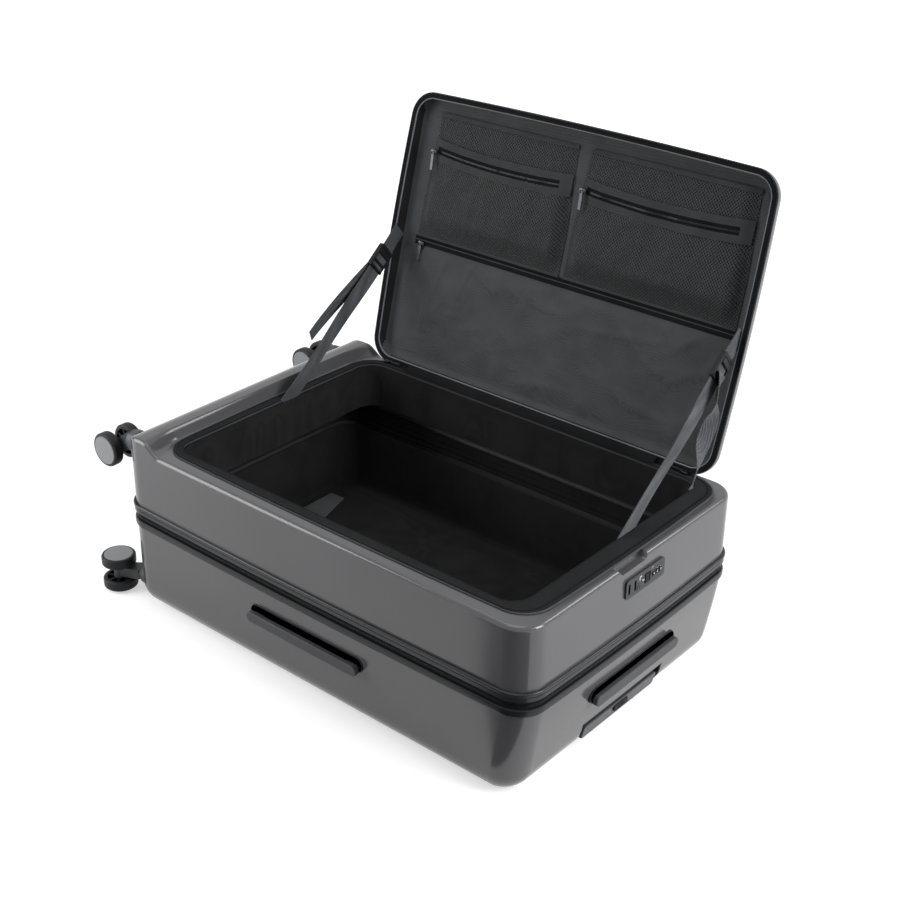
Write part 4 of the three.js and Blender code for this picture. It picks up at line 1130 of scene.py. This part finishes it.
def sliderParts(x, h, face, lean):
    # a zip slider lying on a face of the lid: wedge body, bridge, ring and a flat pull with a waist
    parts = []
    body = roundBlock("body", (x, -h - 4, face - 4), (x + 11, -h + 4, face - 0.4), "z", 2.4, 0.6)
    for v in body.data.vertices:
        if v.co.x > x + 7:
            v.co.y = -h + (v.co.y + h) * sliderPinch
    parts.append(body)
    parts.append(roundBlock("bridge", (x + 2, -h - 1, face - 5.6), (x + 9.5, -h + 1, face - 3.8),
                            "y", 0.8, 0.3))
    deselectAll()
    bpy.ops.mesh.primitive_torus_add(
        major_radius=2.8, minor_radius=0.75, major_segments=24, minor_segments=8,
        location=(x + 5.5, -h + 1.6, face - 5.0), rotation=(0.35, 0, 0))
    parts.append(freeze(bpy.context.active_object))
    pull = roundBlock("pull", (x + 3, -h + 2.5, face - 5.6), (x + 8, -h + 26, face - 4.2),
                      "z", 1.6, 0.45)
    for v in pull.data.vertices:
        t = (v.co.y + h) / 26
        v.co.x += lean * t
        if 0.25 < t < 0.8:
            middle = x + 5.5 + lean * t
            v.co.x = middle + (v.co.x - middle) * pullWaist
    parts.append(pull)
    return parts


def makeSliders():
    for node, x, h, lean in (("pocket_slider_left", -246, pocket["zip"], 2.0),
                             ("pocket_slider_right", 20, pocket["zip"], 1.5),
                             ("lining_slider", -246, 185, 1.0)):
        low, high = nodeBox(node)
        corner = lidTurn.inverted() @ ((Vector(low) + Vector(high)) / 2)
        face = corner.z + 3.1
        parts = sliderParts(x, h, face, lean)
        slider = joinPieces(node + "_cast", parts)
        slider.data.transform(lidTurn)
        finish(slider, node, platedZinc, [node], angle=40)


def makeLiningZip():
    # the lining's own zip runs just below the pockets, its coil turned inwards
    level = 190
    xs = np.linspace(-254, 310, 140)
    path = [Vector((x, -level, lidFaceAt(x, level) - 0.5)) for x in xs]
    for name, low, high in (("lining_zip_lower", -7, -0.7), ("lining_zip_upper", 0.7, 6)):
        tape = tapeAlong(name, path, low, high, 0.7)
        tape.data.transform(lidTurn)
        finish(tape, "lid", zipTape, angle=40)


makeLidLining()
makeLidTape()
makePocket("left")
makePocket("right")
makeLiningZip()
makeSliders()
print("lid's inside made")


stay = {
    "foot": (18.0, 244.0), "top": (265.2, 444.3), "xs": {"left": -278.05, "right": 306.05},
    "width": 25, "thick": 1.5, "buckleAt": 0.825, "tail": 150,
}


def webbingBand(name, path, across, width, thick):
    # a woven band along a path: rounded selvedges, across gives the width's direction at each point
    rings = []
    half, edge = width / 2, 0.5
    section = [(-half, 0), (-half + edge, thick / 2), (0, thick / 2), (half - edge, thick / 2),
               (half, 0), (half - edge, -thick / 2), (0, -thick / 2), (-half + edge, -thick / 2)]
    for i, p in enumerate(path):
        p = Vector(p)
        ahead = (Vector(path[min(i + 1, len(path) - 1)]) - Vector(path[max(i - 1, 0)])).normalized()
        side = Vector(across[i] if isinstance(across, list) else across)
        side = (side - ahead * side.dot(ahead)).normalized()
        out = ahead.cross(side).normalized()
        rings.append([p + side * u + out * v for u, v in section])
    piece = loftRings(name, rings)
    count = len(section)
    last = (len(path) - 1) * count
    addFaces(piece, [range(count)[::-1], range(last, last + count)], outward=True)
    return piece


# a stitch's corners in millimetres along, across and out
stitchCorners = ((-1.1, -0.3, 0), (1.1, -0.3, 0), (1.1, 0.3, 0), (-1.1, 0.3, 0),
                 (-0.8, -0.2, 0.4), (0.8, -0.2, 0.4), (0.8, 0.2, 0.4), (-0.8, 0.2, 0.4))


def stitchBox(name, centre, along, across, out, length, width, pitch=3.4):
    # a sewn box with a cross: short thread stitches that lie on the webbing
    along, across, out = [Vector(v).normalized() for v in (along, across, out)]
    a, b = length / 2, width / 2
    lines = [((-a, -b), (a, -b)), ((a, -b), (a, b)), ((a, b), (-a, b)), ((-a, b), (-a, -b)),
             ((-a, -b), (a, b)), ((-a, b), (a, -b))]
    points, faces = [], []
    for (u0, v0), (u1, v1) in lines:
        run = math.hypot(u1 - u0, v1 - v0)
        steps = max(1, int(run / pitch))
        du, dv = (u1 - u0) / run, (v1 - v0) / run
        for k in range(steps):
            t = (k + 0.5) / steps
            cu, cv = u0 + (u1 - u0) * t, v0 + (v1 - v0) * t
            first = len(points)
            for su, sv, sw in stitchCorners:
                u, v = cu + du * su - dv * sv, cv + dv * su + du * sv
                points.append(Vector(centre) + along * u + across * v + out * sw)
            faces += [[first + i for i in quad] for quad in blockFaces]
    return meshPiece(name, points, faces)


def stayPoint(t, x):
    (y0, z0), (y1, z1) = stay["foot"], stay["top"]
    return Vector((x, y0 + (y1 - y0) * t, z0 + (z1 - z0) * t))


def makeStay(side):
    x = stay["xs"][side]
    inward = 1 if side == "left" else -1
    run = (stayPoint(1, x) - stayPoint(0, x)).normalized()
    across = Vector((1, 0, 0)).cross(run)
    # the band hangs a little slack and rolls about its own line halfway up
    path, turns = [], []
    for i in range(65):
        t = i / 64
        sway = inward * 1.2 * math.sin(3 * math.pi * t) * swell(t)
        path.append(stayPoint(t, x) + across * -1.6 * swell(t) + Vector((sway, 0, 0)))
        roll = math.radians(7) * math.sin(2 * math.pi * t) * swell(t)
        turns.append(across * math.cos(roll) + Vector((1, 0, 0)) * math.sin(roll))
    strap = webbingBand("stay_webbing_" + side, path, turns, stay["width"], stay["thick"])
    face = Vector((inward * stay["thick"] / 2, 0, 0))
    stitches = stitchBox("stay_stitches_" + side, stayPoint(0.03, x) + face, run, across,
                         (inward, 0, 0), 16, 17)
    finish(strap, None, webbingCloth, ["stay_strap_" + side], angle=50, weighted=False)
    finish(stitches, "front_case", webbingCloth, angle=50, weighted=False)
    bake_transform(strap)
    makeBuckle(side, x, run, across, inward)
    makeTail(side, x, run, across)


def makeBuckle(side, x, run, across, inward):
    # a ladder-lock: two side rails, a thumb bar and two slots that the webbing doubles back through
    place = Matrix.Translation(stayPoint(stay["buckleAt"], x)) @ Matrix(
        (run, across, Vector((1, 0, 0)))).transposed().to_4x4()
    rails = roundBlock("rails", (-19, -16, -3.4), (19, 16, 3.4), "z", 4, 0.9)
    for low, high in ((-15, -9), (-5.5, 4.5), (8.5, 14)):
        combine(rails, roundBlock("slot", (low, -12.8, -10), (high, 12.8, 10), "z", 1.2))
    bar = addRod("bar", "y", 2.2, 30, (-17, 0, 2.6 * inward), 20)
    tongue = roundBlock("tongue", (4.5, -12, -4.4), (13, 12, 4.4), "y", 1.5, 0.5)
    piece = joinPieces("stay_buckle_cast_" + side, [rails, bar, tongue])
    piece.data.transform(place)
    finish(piece, "lid", blackNylon, ["stay_buckle_" + side], angle=40)


def makeTail(side, x, run, across):
    # the loose end springs away from the buckle and hangs
    start = stayPoint(stay["buckleAt"] - 0.02, x)
    path, turns = [], []
    if side == "left":
        direction = Vector((-0.05, -0.87, -0.46)).normalized()
        length = stay["tail"]
        for i in range(33):
            t = i / 32
            p = start + (-run) * length * t * (1 - t) * 0.25 + direction * length * t
            p += Vector((-7 * swell(t) * 0.5 - 3.5, 0, -9 * t * t))
            path.append(p)
            turns.append(across + Vector((0.35 * t, 0, 0)))
    else:
        points = [(0, 0, 0), (4, -14, -16), (7, -20, -38), (3, -22, -60), (1, -33, -84),
                  (6, -46, -104), (9, -58, -122), (7, -66, -140)]
        for i in range(len(points) - 1):
            for k in range(5):
                t = k / 5
                a, b = Vector(points[i]), Vector(points[i + 1])
                path.append(start + Vector((5, 0, 0)) + a.lerp(b, t))
                turns.append(across + Vector((0.5 * math.sin((i + t) * 1.3), 0, 0)))
        path = smoothPath(path)
    tail = webbingBand("stay_tail_" + side, path, turns, stay["width"] - 1, 1.3)
    finish(tail, "lid", webbingCloth, angle=50, weighted=False)
    length = sum((Vector(b) - Vector(a)).length for a, b in zip(path, path[1:]))


def smoothPath(path, rounds=6):
    for _ in range(rounds):
        inner = [(a + b * 2 + c) / 4 for a, b, c in zip(path, path[1:], path[2:])]
        path = [path[0]] + inner + [path[-1]]
    return path


makeStay("left")
makeStay("right")
print("stay straps made")


# the skirt that hangs from the opening; corners is what its round corners save of the way round
skirt = {"inset": 10.6, "top": 249.2, "low": 184.1, "steps": 13, "corners": 150}


def openingOutline(inset):
    return roundedOutline(lidSize["start"] + inset, lidSize["end"] - inset,
                          lidSize["hingeY"] - lidSize["height"] + inset, lidSize["hingeY"] - inset,
                          max(lidSize["corner"] - inset, 8), 12, 0, 60)


def makeFrontLining():
    # a skirt of cloth that hangs from the opening, with soft upright folds
    rings = []
    for k in range(skirt["steps"] + 1):
        z = skirt["top"] - (skirt["top"] - skirt["low"]) * k / skirt["steps"]
        slack = rampUp(k, 0, 6) * 1.6
        ring = []
        for x, y in openingOutline(skirt["inset"]):
            push = slack * (fold(x + y, z, 90, 160, 38, 6.6)
                            + 0.8 * crease(x + y, z, 82, 160, 60, 9.1))
            length = math.hypot(x, y)
            ring.append((x - x / length * push, y - y / length * push, z))
        rings.append(ring)
    cloth = loftRings("front_lining_cloth", rings)
    applyModifier(cloth, "SOLIDIFY", thickness=0.9, offset=0)
    # the lining cloth painted nearly black: painted shade inside the front case
    finish(cloth, "front_case", shadedLining, ["front_lining"], angle=60,
           weighted=False)


# the packing tray's lining: its wall's levels below the top, with insets from the sides and from
# the handle end, then its floor's level, first inset, end and the step from ring to ring
tray = {
    "levels": [(110, 0.6, 33), (85, 0.6, 43), (60, 0.7, 53), (46.8, 0.8, 58.3), (34, 0.9, 58.3),
               (29, 3, 60), (27.8, 8.5, 65)],
    "floor": 27.8, "floorInset": 8.5, "floorEnd": 284, "step": 7.4, "flat": (0.60, 0.82),
}


def makeRearLining():
    # a floor with soft folds and walls that rise to the zip
    low, high = nodeBox("rear_lining")
    rings = []
    for z, inset, endInset in [(high[2] - 0.2, 0.6, 24)] + tray["levels"]:
        outline = roundedOutline(low[0] + inset, halfLength - endInset - inset * 0.3,
                                 low[1] + inset, high[1] - inset, 30 - min(inset, 8), 12, 0, 40)
        rings.append([(x, y, z) for x, y in outline])
    for k in range(1, 26):
        reach = tray["step"] * k
        inset = tray["floorInset"] + reach
        outline = roundedOutline(low[0] + inset, tray["floorEnd"] - reach,
                                 low[1] + inset, high[1] - inset,
                                 max(8, 22 - inset * 0.3), 12, 0, 40)
        ring = []
        for x, y in outline:
            lift = rampUp(k, 0, 5) * (2.2 * abs(fold(x, y, 35, 140, 50, 4.2))
                                      + 1.8 * crease(x, y, -25, 200, 80, 8.8))
            ring.append((x, y, tray["floor"] + lift))
        rings.append(ring)
    cloth = loftRings("rear_lining_cloth", rings)
    count = len(rings[0])
    addFaces(cloth, [range(count * (len(rings) - 1), count * len(rings))])
    applyModifier(cloth, "SOLIDIFY", thickness=0.9, offset=0)
    # the lining cloth painted nearly black: painted shade inside the rear case
    finish(cloth, "rear_case", shadedLining, ["rear_lining"], angle=60,
           weighted=False)


packing = {
    "corner": (-301, 142), "lift": 3.6, "width": 25, "thick": 1.4,
    "runs": ((300, -72, 0), (250, -88, 1.8)),  # length, direction in degrees, extra lift
}


def makePackingStraps():
    corner = Vector((*packing["corner"], nodeBox("packing_straps")[0][2] + packing["lift"]))
    pieces = []
    for length, turn, lift in packing["runs"]:
        angle = math.radians(turn)
        along = Vector((math.cos(angle), math.sin(angle), 0))
        across = Vector((-along.y, along.x, 0))
        path = [corner + along * length * i / 40 + Vector((0, 0, lift + 1.2 * math.sin(5 * i / 40)))
                for i in range(41)]
        pieces.append(webbingBand("band", path, across, packing["width"], packing["thick"]))
    straps = joinPieces("packing_straps_webbing", pieces)
    finish(straps, "rear_case", darkWebbing, ["packing_straps"], angle=50,
           weighted=False)
    length = sum(run[0] for run in packing["runs"])


def makeHingeStrip():
    # the cloth hinge, sewn to both zip tapes, bowed a little along the hinge line
    low, high = nodeBox("hinge_strip")
    rows = []
    foot, top = Vector((0, 200.3, 254.3)), Vector((0, 209.9, 262.6))
    for i in range(9):
        t = i / 8
        p = foot.lerp(top, t) + Vector((0, -0.5, 0.6)) * swell(t) * 1.2
        rows.append([(x, p.y, p.z) for x in np.linspace(low[0], high[0], 60)])
    strip = clothGrid("hinge_cloth", rows)
    applyModifier(strip, "SOLIDIFY", thickness=1.0, offset=0)
    finish(strip, None, zipTape, ["hinge_strip"], angle=50, weighted=False)
    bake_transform(strip)


def makeGusset():
    # the expansion gusset: a folded cloth band behind the middle zip
    low, high = nodeBox("expansion_gusset")
    rings = []
    for k in range(13):
        z = low[2] + 0.4 + (high[2] - low[2] - 0.8) * k / 12
        inset = 6.9 + 1.5 * math.sin(k * math.pi / 2)
        rings.append(caseRing(z, inset))
    gusset = loftRings("expansion_gusset_cloth", rings)
    applyModifier(gusset, "SOLIDIFY", thickness=0.8, offset=0)
    # the lining cloth painted nearly black: painted shade behind the middle zip
    finish(gusset, None, shadedLining, ["expansion_gusset"], angle=60,
           weighted=False)
    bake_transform(gusset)


# the case's zip tape around the opening: its inner edge's inset from the lid's edge, and its
# width on each side
zipBand = {"inset": 8.9, "wheelEnd": 11.9, "handleEnd": 28.9, "near": 13.9, "hinge": 10.9}


def tapeRing(share, level):
    # across the band: 0 at the opening's edge, 1 at its outer border
    x0 = lidSize["start"] + zipBand["inset"] - zipBand["wheelEnd"] * share
    x1 = lidSize["end"] - zipBand["inset"] + zipBand["handleEnd"] * share
    y0 = lidSize["hingeY"] - lidSize["height"] + zipBand["inset"] - zipBand["near"] * share
    y1 = lidSize["hingeY"] - zipBand["inset"] + zipBand["hinge"] * share
    ring = []
    for x, y in roundedOutline(x0, x1, y0, y1, lidSize["corner"] - 9 + 12 * share, 12, 0, 24):
        bow = shell["bow"] * share
        if abs(y - y0) < 0.01:
            y -= bow * swell(min(1, max(0, (x - x0 - 40) / (x1 - x0 - 80))))
        elif abs(x - x0) < 0.01 or abs(x - x1) < 0.01:
            x += math.copysign(bow * swell(min(1, max(0, (y - y0 - 40) / (y1 - y0 - 80)))), x)
        ring.append((x, y, level))
    return ring


def tapeCord(name, share, level, radius, material):
    # a thin round cord along the band
    rings = []
    for i in range(8):
        angle = 2 * math.pi * i / 8
        rings.append(tapeRing(share + radius * math.cos(angle) / 14,
                              level + radius * math.sin(angle)))
    cord = loftRings(name, rings, closed=True)
    finish(cord, "front_case", material, angle=60)


def makeOpeningTape():
    # the case's half of the lid's zip: tape, coil, a welt on its inner edge and a bound outer edge
    z = shell["rim"] + 0.5
    rim = [(0.98, z - 0.3), (1, z + 0.4), (0.97, z + 1.0), (0.03, z + 1.2), (0, z + 0.6),
           (0.03, z - 0.2)]
    tape = loftRings("opening_zip_tape_woven", [tapeRing(share, level) for share, level in rim],
                     closed=True)
    finish(tape, "front_case", zipTape, ["opening_zip_tape"], angle=40)
    path = [Vector(p) for p in tapeRing(0.74, z + 1.2)]
    teeth = toothRow("opening_zip_teeth", path, 2.4, (1.5, 1.4, 1.8))
    finish(teeth, "front_case", coilNylon, angle=50, weighted=False)
    tapeCord("opening_welt", 0.0, z + 0.8, 0.8, zipTape)
    tapeCord("opening_border", 1.0, z + 0.5, 0.7, borderCloth)


def parkSlider(name, at, along, out, body):
    along, out = Vector(along), Vector(out)
    across = out.cross(along)
    nose = roundBlock("nose", (-5.5, -4, 0), (5.5, 4, 3.6), "z", 2.4, 0.6)
    for v in nose.data.vertices:
        if v.co.x > 1.5:
            v.co.y *= sliderPinch
    parts = [nose, roundBlock("bridge", (-3.5, -1, 3.2), (4, 1, 5.2), "y", 0.8, 0.3),
             roundBlock("pull", (2, -2.4, 4.2), (27, 2.4, 5.6), "z", 1.6, 0.45)]
    slider = joinPieces(name, parts)
    turn = Matrix((along, across, out)).transposed().to_4x4()
    slider.data.transform(Matrix.Translation(at) @ turn)
    finish(slider, body, platedZinc, angle=40)


def makeParkedSliders():
    # the sliders of the lid's zip and of the middle zip run on curved tapes, and rest by the hinge
    level = shell["rim"] + 2.2
    for name, x, way in (("lid_zip_slider_wheel_end", -252, 1),
                         ("lid_zip_slider_handle_end", 276, -1)):
        parkSlider(name, (x, 207, level), (way, 0, 0), (0, 0, 1), "front_case")
    for name, x, way in (("middle_zip_slider_left", -60, -1), ("middle_zip_slider_right", 60, 1)):
        wall = halfWidth + shell["bow"] * swell((x + flatX) / (2 * flatX))
        parkSlider(name, (x, wall + 0.2, 146.2), (way, 0, 0), (0, 1, 0), "rear_case")


makeFrontLining()
makeRearLining()
makePackingStraps()
makeOpeningTape()
makeParkedSliders()
makeHingeStrip()
makeGusset()
print("linings made")


def makeHandle(side, axis, body):
    # a long flat bar with round ends on two legs that sink into the recess's floor
    low, high = nodeBox(side + "_handle_grip")
    outLow, outHigh = list(low), list(high)
    along = 0 if axis == "y" else 1
    outLow[along] -= handle["reach"]
    outHigh[along] += handle["reach"]
    if axis == "y":
        outHigh[1] = low[1] + handle["thick"]
    else:
        outLow[0] = high[0] - handle["thick"]
    bar = roundBlock("bar", outLow, outHigh, axis, handle["height"] / 2 - 0.02, handle["rim"],
                     segments=14, rimSegments=4)
    parts = [bar]
    for sign in (-1, 1):
        centre = sign * (high[along] - handle["leg"])
        legLow, legHigh = list(low), list(high)
        legLow[along], legHigh[along] = centre - handle["leg"] / 2, centre + handle["leg"] / 2
        legLow[2] = handle["level"] - handle["legHeight"] / 2
        legHigh[2] = handle["level"] + handle["legHeight"] / 2
        if axis == "y":
            legLow[1] = low[1] + handle["thick"] - 1.5
        else:
            legHigh[0] = high[0] - handle["thick"] + 1.5
        parts.append(roundBlock("leg", legLow, legHigh, axis, 3, segments=4))
    grip = joinPieces(side + "_handle_bar", parts)
    finish(grip, body, gripPlastic, [side + "_handle_grip"], angle=40)
    outer = bayBox(side)
    radius = (outer[1][2] - outer[0][2]) / 2 - 0.01
    liner = roundBlock(side + "_handle_bay", outer[0], outer[1], axis, radius, segments=12)
    inner = [v + handle["bayWall"] for v in outer[0]], [v - handle["bayWall"] for v in outer[1]]
    if axis == "y":
        inner[0][1] = -400
    else:
        inner[1][0] = 400
    combine(liner, roundBlock("hollow", inner[0], inner[1], axis, radius - handle["bayWall"],
                              segments=12))
    depth = 1 - along
    mouth = abs(outer[0 if axis == "y" else 1][depth])
    bevelEdges(liner, lambda a, b: abs(abs(a[depth]) - mouth) < 0.01
               and abs(a[depth] - b[depth]) < 0.01, 0.5, 2)
    finish(liner, "rear_case", bayPlastic, [side + "_handle_housing"], angle=30)


trolley = {"shorter": 3, "lower": 5, "faceOut": 1, "faceLean": 5.5, "buttonOut": 3.5}


def makeTrolley():
    # the grip lies in its recess with a gap around it, widest above, and its face leans outwards
    low, high = nodeBox("trolley_grip")
    low[1] += trolley["shorter"]
    high[1] -= trolley["shorter"]
    high[2] -= trolley["lower"]
    grip = roundBlock("trolley_grip_moulded", low, high, "x", 5, 1.4, segments=8, rimSegments=4)
    for v in grip.data.vertices:
        if v.co.x > (low[0] + high[0]) / 2:
            share = (v.co.z - low[2]) / (high[2] - low[2])
            v.co.x += trolley["faceOut"] + trolley["faceLean"] * share
    room = nodeBox("trolley_button")
    for corner in room:
        corner[0] += trolley["buttonOut"]
    combine(grip, roundBlock("button_room", (room[0][0] - 2.8, room[0][1] - 0.4, room[0][2] - 0.4),
                             (340, room[1][1] + 0.4, room[1][2] + 0.4), "x", 3.2))
    bevelEdges(grip, lambda a, b: min(a.x, b.x) > high[0] - 0.01 and max(abs(a.y), abs(b.y)) < 16
               and room[0][2] - 1 < a.z < room[1][2] + 1, 0.4, 2)
    finish(grip, "trolley", gripPlastic, ["trolley_grip"], angle=40)
    button = roundBlock("trolley_button_moulded", room[0], room[1], "x", 3, 0.9, segments=6)
    face = room[1][0]
    ribs = [roundBlock("rib", (face - 0.6, y - 0.5, room[0][2] + 2),
                       (face + 0.35, y + 0.5, room[1][2] - 2), "x", 0.45, 0.2, segments=3)
            for y in (-6, -3, 0, 3, 6)]
    button = joinPieces("trolley_button_moulded", [button] + ribs)
    finish(button, "trolley_button", blackNylon, ["trolley_button"], angle=40)
    dressNode("trolley_cup", "rear_case", bayPlastic, bevel=0.5, angle=30)
    for node in ("trolley_tube_near", "trolley_tube_far", "trolley_rod_near", "trolley_rod_far"):
        paintNode(node, anodisedAluminium)
    paintNode("trolley_foot", blackNylon)


def paintNode(node, material):
    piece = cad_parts[node]
    piece.data.materials.clear()
    piece.data.materials.append(material)


lock = {
    "digit": 4.2, "dialRadius": 8, "grooveAt": 8.3, "grooveRadius": 0.75,
    "ribLevels": (215.5, 217.5, 219.5, 221.5, 223.5), "markRaise": 0.12,
    # the printed marks' boxes, across and up
    "marks": ((-7.5, -6.3, 223, 228), (-7.5, -3, 227.4, 228.4), (19, 21, 229, 230),
              (-1.5, 2.2, 219.6, 220.6)),
    "arrow": ((1.0, 218.2), (3.0, 220.1), (1.0, 222)),
}


def makeLock():
    dressNode("lock_body", "front_case", lockPlastic, bevel=0.45, angle=30)
    low, high = nodeBox("lock_slider")
    slider = roundBlock("lock_slider_moulded", low, high, "x", 1.6, 0.5, segments=5)
    ribs = [roundBlock("rib", (high[0] - 0.5, low[1] + 1.2, z - 0.4),
                       (high[0] + 0.3, high[1] - 1.2, z + 0.4), "x", 0.35, 0.15, segments=3)
            for z in lock["ribLevels"]]
    slider = joinPieces("lock_slider_moulded", [slider] + ribs)
    finish(slider, "lock_slider", blackNylon, ["lock_slider"], angle=40)
    for i in (1, 2, 3):
        makeDial(i)
    face = nodeBox("lock_body")[1][0]
    under, over = face - 0.1, face + lock["markRaise"]
    marks = [roundBlock("mark", (under, y0, z0), (over, y1, z1), "x", 0.3, 0.05, segments=3)
             for y0, y1, z0, z1 in lock["marks"]]
    marks.append(meshPiece("arrow", [(x, y, z) for x in (under, over) for y, z in lock["arrow"]],
                           [(2, 1, 0), (3, 4, 5), (0, 1, 4, 3), (1, 2, 5, 4), (2, 0, 3, 5)]))
    printed = joinPieces("lock_printed_marks", marks)
    finish(printed, "front_case", whitePrint, angle=40)
    ring = addRod("lock_key_ring", "x", 4.2, 1.0, (face + 0.15, -8, 214.8), 40)
    bevelEdges(ring, lambda a, b: a.x > face + 0.5 and b.x > face + 0.5, 0.4, 3)
    combine(ring, roundBlock("key_slot", (face - 1, -8.6, 212.4), (face + 2, -7.4, 217.2), "x",
                             0.5, segments=4))
    finish(ring, "front_case", platedZinc, angle=40)


def makeDial(i):
    node = "lock_dial_%d" % i
    low, high = nodeBox(node)
    middle = [(a + b) / 2 for a, b in zip(low, high)]
    dial = addRod(node + "_wheel", "y", lock["dialRadius"], high[1] - low[1], middle, 40)
    bevelEdges(dial, lambda a, b: abs(a.y - b.y) < 1e-4, 0.5, 2)
    # shallow finger grooves between the numerals
    grooves = []
    for k in range(10):
        angle = math.radians(36 * k + 18)
        at = (middle[0] + lock["grooveAt"] * math.cos(angle), middle[1],
              middle[2] + lock["grooveAt"] * math.sin(angle))
        grooves.append(addRod("groove", "y", lock["grooveRadius"], 8, at, 10))
    combine(dial, joinPieces("grooves", grooves))
    finish(dial, node, blackNylon, [node], angle=35)
    numerals = []
    for k in range(10):
        deselectAll()
        bpy.ops.object.text_add()
        text = bpy.context.active_object
        text.data.body = str(k)
        text.data.size = lock["digit"]
        text.data.align_x, text.data.align_y = "CENTER", "CENTER"
        text.data.extrude = 0.12
        bpy.ops.object.convert(target="MESH")
        text = bpy.context.active_object
        facing = Matrix(((0, 0, 1), (1, 0, 0), (0, 1, 0))).to_4x4()  # faces +X, reads along +Y
        out = Matrix.Translation((lock["dialRadius"] + 0.02, 0, 0))
        spin = Matrix.Rotation(math.radians(36 * k), 4, "Y")
        text.data.transform(Matrix.Translation(middle) @ spin @ out @ facing)
        numerals.append(text)
    piece = joinPieces(node + "_numerals", numerals)
    finish(piece, node, whitePrint, angle=40, weighted=False)


wheel = {
    "radius": 24.5, "width": 14.5, "shoulder": 3.0, "innerShoulder": 2.6, "ring": 0.7,
    "hub": 7.5, "spokes": 7, "hubDepth": 6.7,
}


def modelWheel():
    # axis along +Y, inner side at 0 and the capped side at the wheel's width
    r, w = wheel["radius"], wheel["width"]
    piece = addRod("wheel", "y", r, w, (0, w / 2, 0), 72)
    bevelEdges(piece, lambda a, b: a.y > w - 0.01 and b.y > w - 0.01, wheel["shoulder"], 7)
    bevelEdges(piece, lambda a, b: a.y < 0.01 and b.y < 0.01, wheel["innerShoulder"], 5)
    # cap: a thin groove, then a flat disc that stands level with the tyre
    pickParts(piece, "FACE", lambda c, n: c.y > w - 0.01 and n.y > 0.99)
    bpy.ops.mesh.inset(thickness=0.35)
    bpy.ops.mesh.extrude_region_move(TRANSFORM_OT_translate={"value": (0, -0.9, 0)})
    bpy.ops.mesh.inset(thickness=wheel["ring"])
    bpy.ops.mesh.extrude_region_move(TRANSFORM_OT_translate={"value": (0, 1.15, 0)})
    bpy.ops.mesh.inset(thickness=0.5)
    bpy.ops.transform.translate(value=(0, 0.2, 0))
    bpy.ops.mesh.inset(thickness=8.5)
    bpy.ops.transform.translate(value=(0, -0.05, 0))
    bpy.ops.object.mode_set(mode="OBJECT")
    # inner side: a recess with a hub and spokes
    pickParts(piece, "FACE", lambda c, n: c.y < 0.01 and n.y < -0.99)
    bpy.ops.mesh.inset(thickness=3.2)
    bpy.ops.mesh.extrude_region_move(TRANSFORM_OT_translate={"value": (0, 6.5, 0)})
    bpy.ops.object.mode_set(mode="OBJECT")
    parts = [piece]
    hub = addRod("hub", "y", wheel["hub"], wheel["hubDepth"], (0, wheel["hubDepth"] / 2, 0), 36)
    bevelEdges(hub, lambda a, b: a.y < 0.01 and b.y < 0.01, 0.8, 3)
    parts.append(hub)
    for k in range(wheel["spokes"]):
        spoke = roundBlock("spoke", (wheel["hub"] - 1.2, 1.2, -1.3),
                           (r - 5, wheel["hubDepth"], 1.3), "y", 0.6, segments=3)
        spoke.data.transform(Matrix.Rotation(2 * math.pi * k / wheel["spokes"], 4, "Y"))
        parts.append(spoke)
    return joinPieces("wheel_master", parts)


def paintWheel(piece, back):
    # the tyre, the cap on the outside, and the hub and spokes on the inside
    for material in (tyreRubber, capPlastic, blackNylon):
        piece.data.materials.append(material)
    capRadius = wheel["radius"] - wheel["shoulder"] - 0.9
    innerRadius = wheel["radius"] - wheel["innerShoulder"] - 3
    for face in piece.data.polygons:
        local = back @ face.center
        away = math.hypot(local.x, local.z)
        if away < capRadius and local.y > wheel["width"] - 1.2:
            face.material_index = 1
        elif away < innerRadius and local.y < wheel["width"] - 2:
            face.material_index = 2


def makeCasters():
    master = modelWheel()
    for end in ("rear", "front"):
        for side in ("near", "far"):
            corner = end + "_" + side
            case = "rear_case" if end == "rear" else "front_case"
            axleBox = nodeBox("caster_axle_" + corner)
            axle = Vector([(a + b) / 2 for a, b in zip(*axleBox)])
            for letter in "ab":
                node = "caster_wheel_%s_%s" % (corner, letter)
                box = nodeBox(node)
                centre = Vector([(a + b) / 2 for a, b in zip(*box)])
                out = (centre - axle).normalized()
                turn = Vector((0, 1, 0)).rotation_difference(out).to_matrix().to_4x4()
                place = Matrix.Translation(centre - out * wheel["width"] / 2) @ turn
                piece = copyPiece(master, node + "_cast", place)
                paintWheel(piece, place.inverted())
                finish(piece, "wheel_%s_%s" % (corner, letter), tyreRubber, [node],
                       angle=35)
            for name, body, slotName, material, bevel in (
                    ("caster_fork_", "caster_" + corner, "black_plastic", darkAbs, 1.2),
                    ("caster_housing_", case, "black_plastic", darkAbs, 0.35),
                    ("caster_axle_", "caster_" + corner, "axle_steel", turnedSteel, 0.4)):
                dressNode(name + corner, body, material, bevel=bevel, angle=30)
    bpy.data.objects.remove(master, do_unlink=True)


makeHandle("side", "y", "side_handle")
makeHandle("top", "x", "top_handle")
makeTrolley()
makeLock()
makeCasters()
print("handles, trolley, lock and casters made")
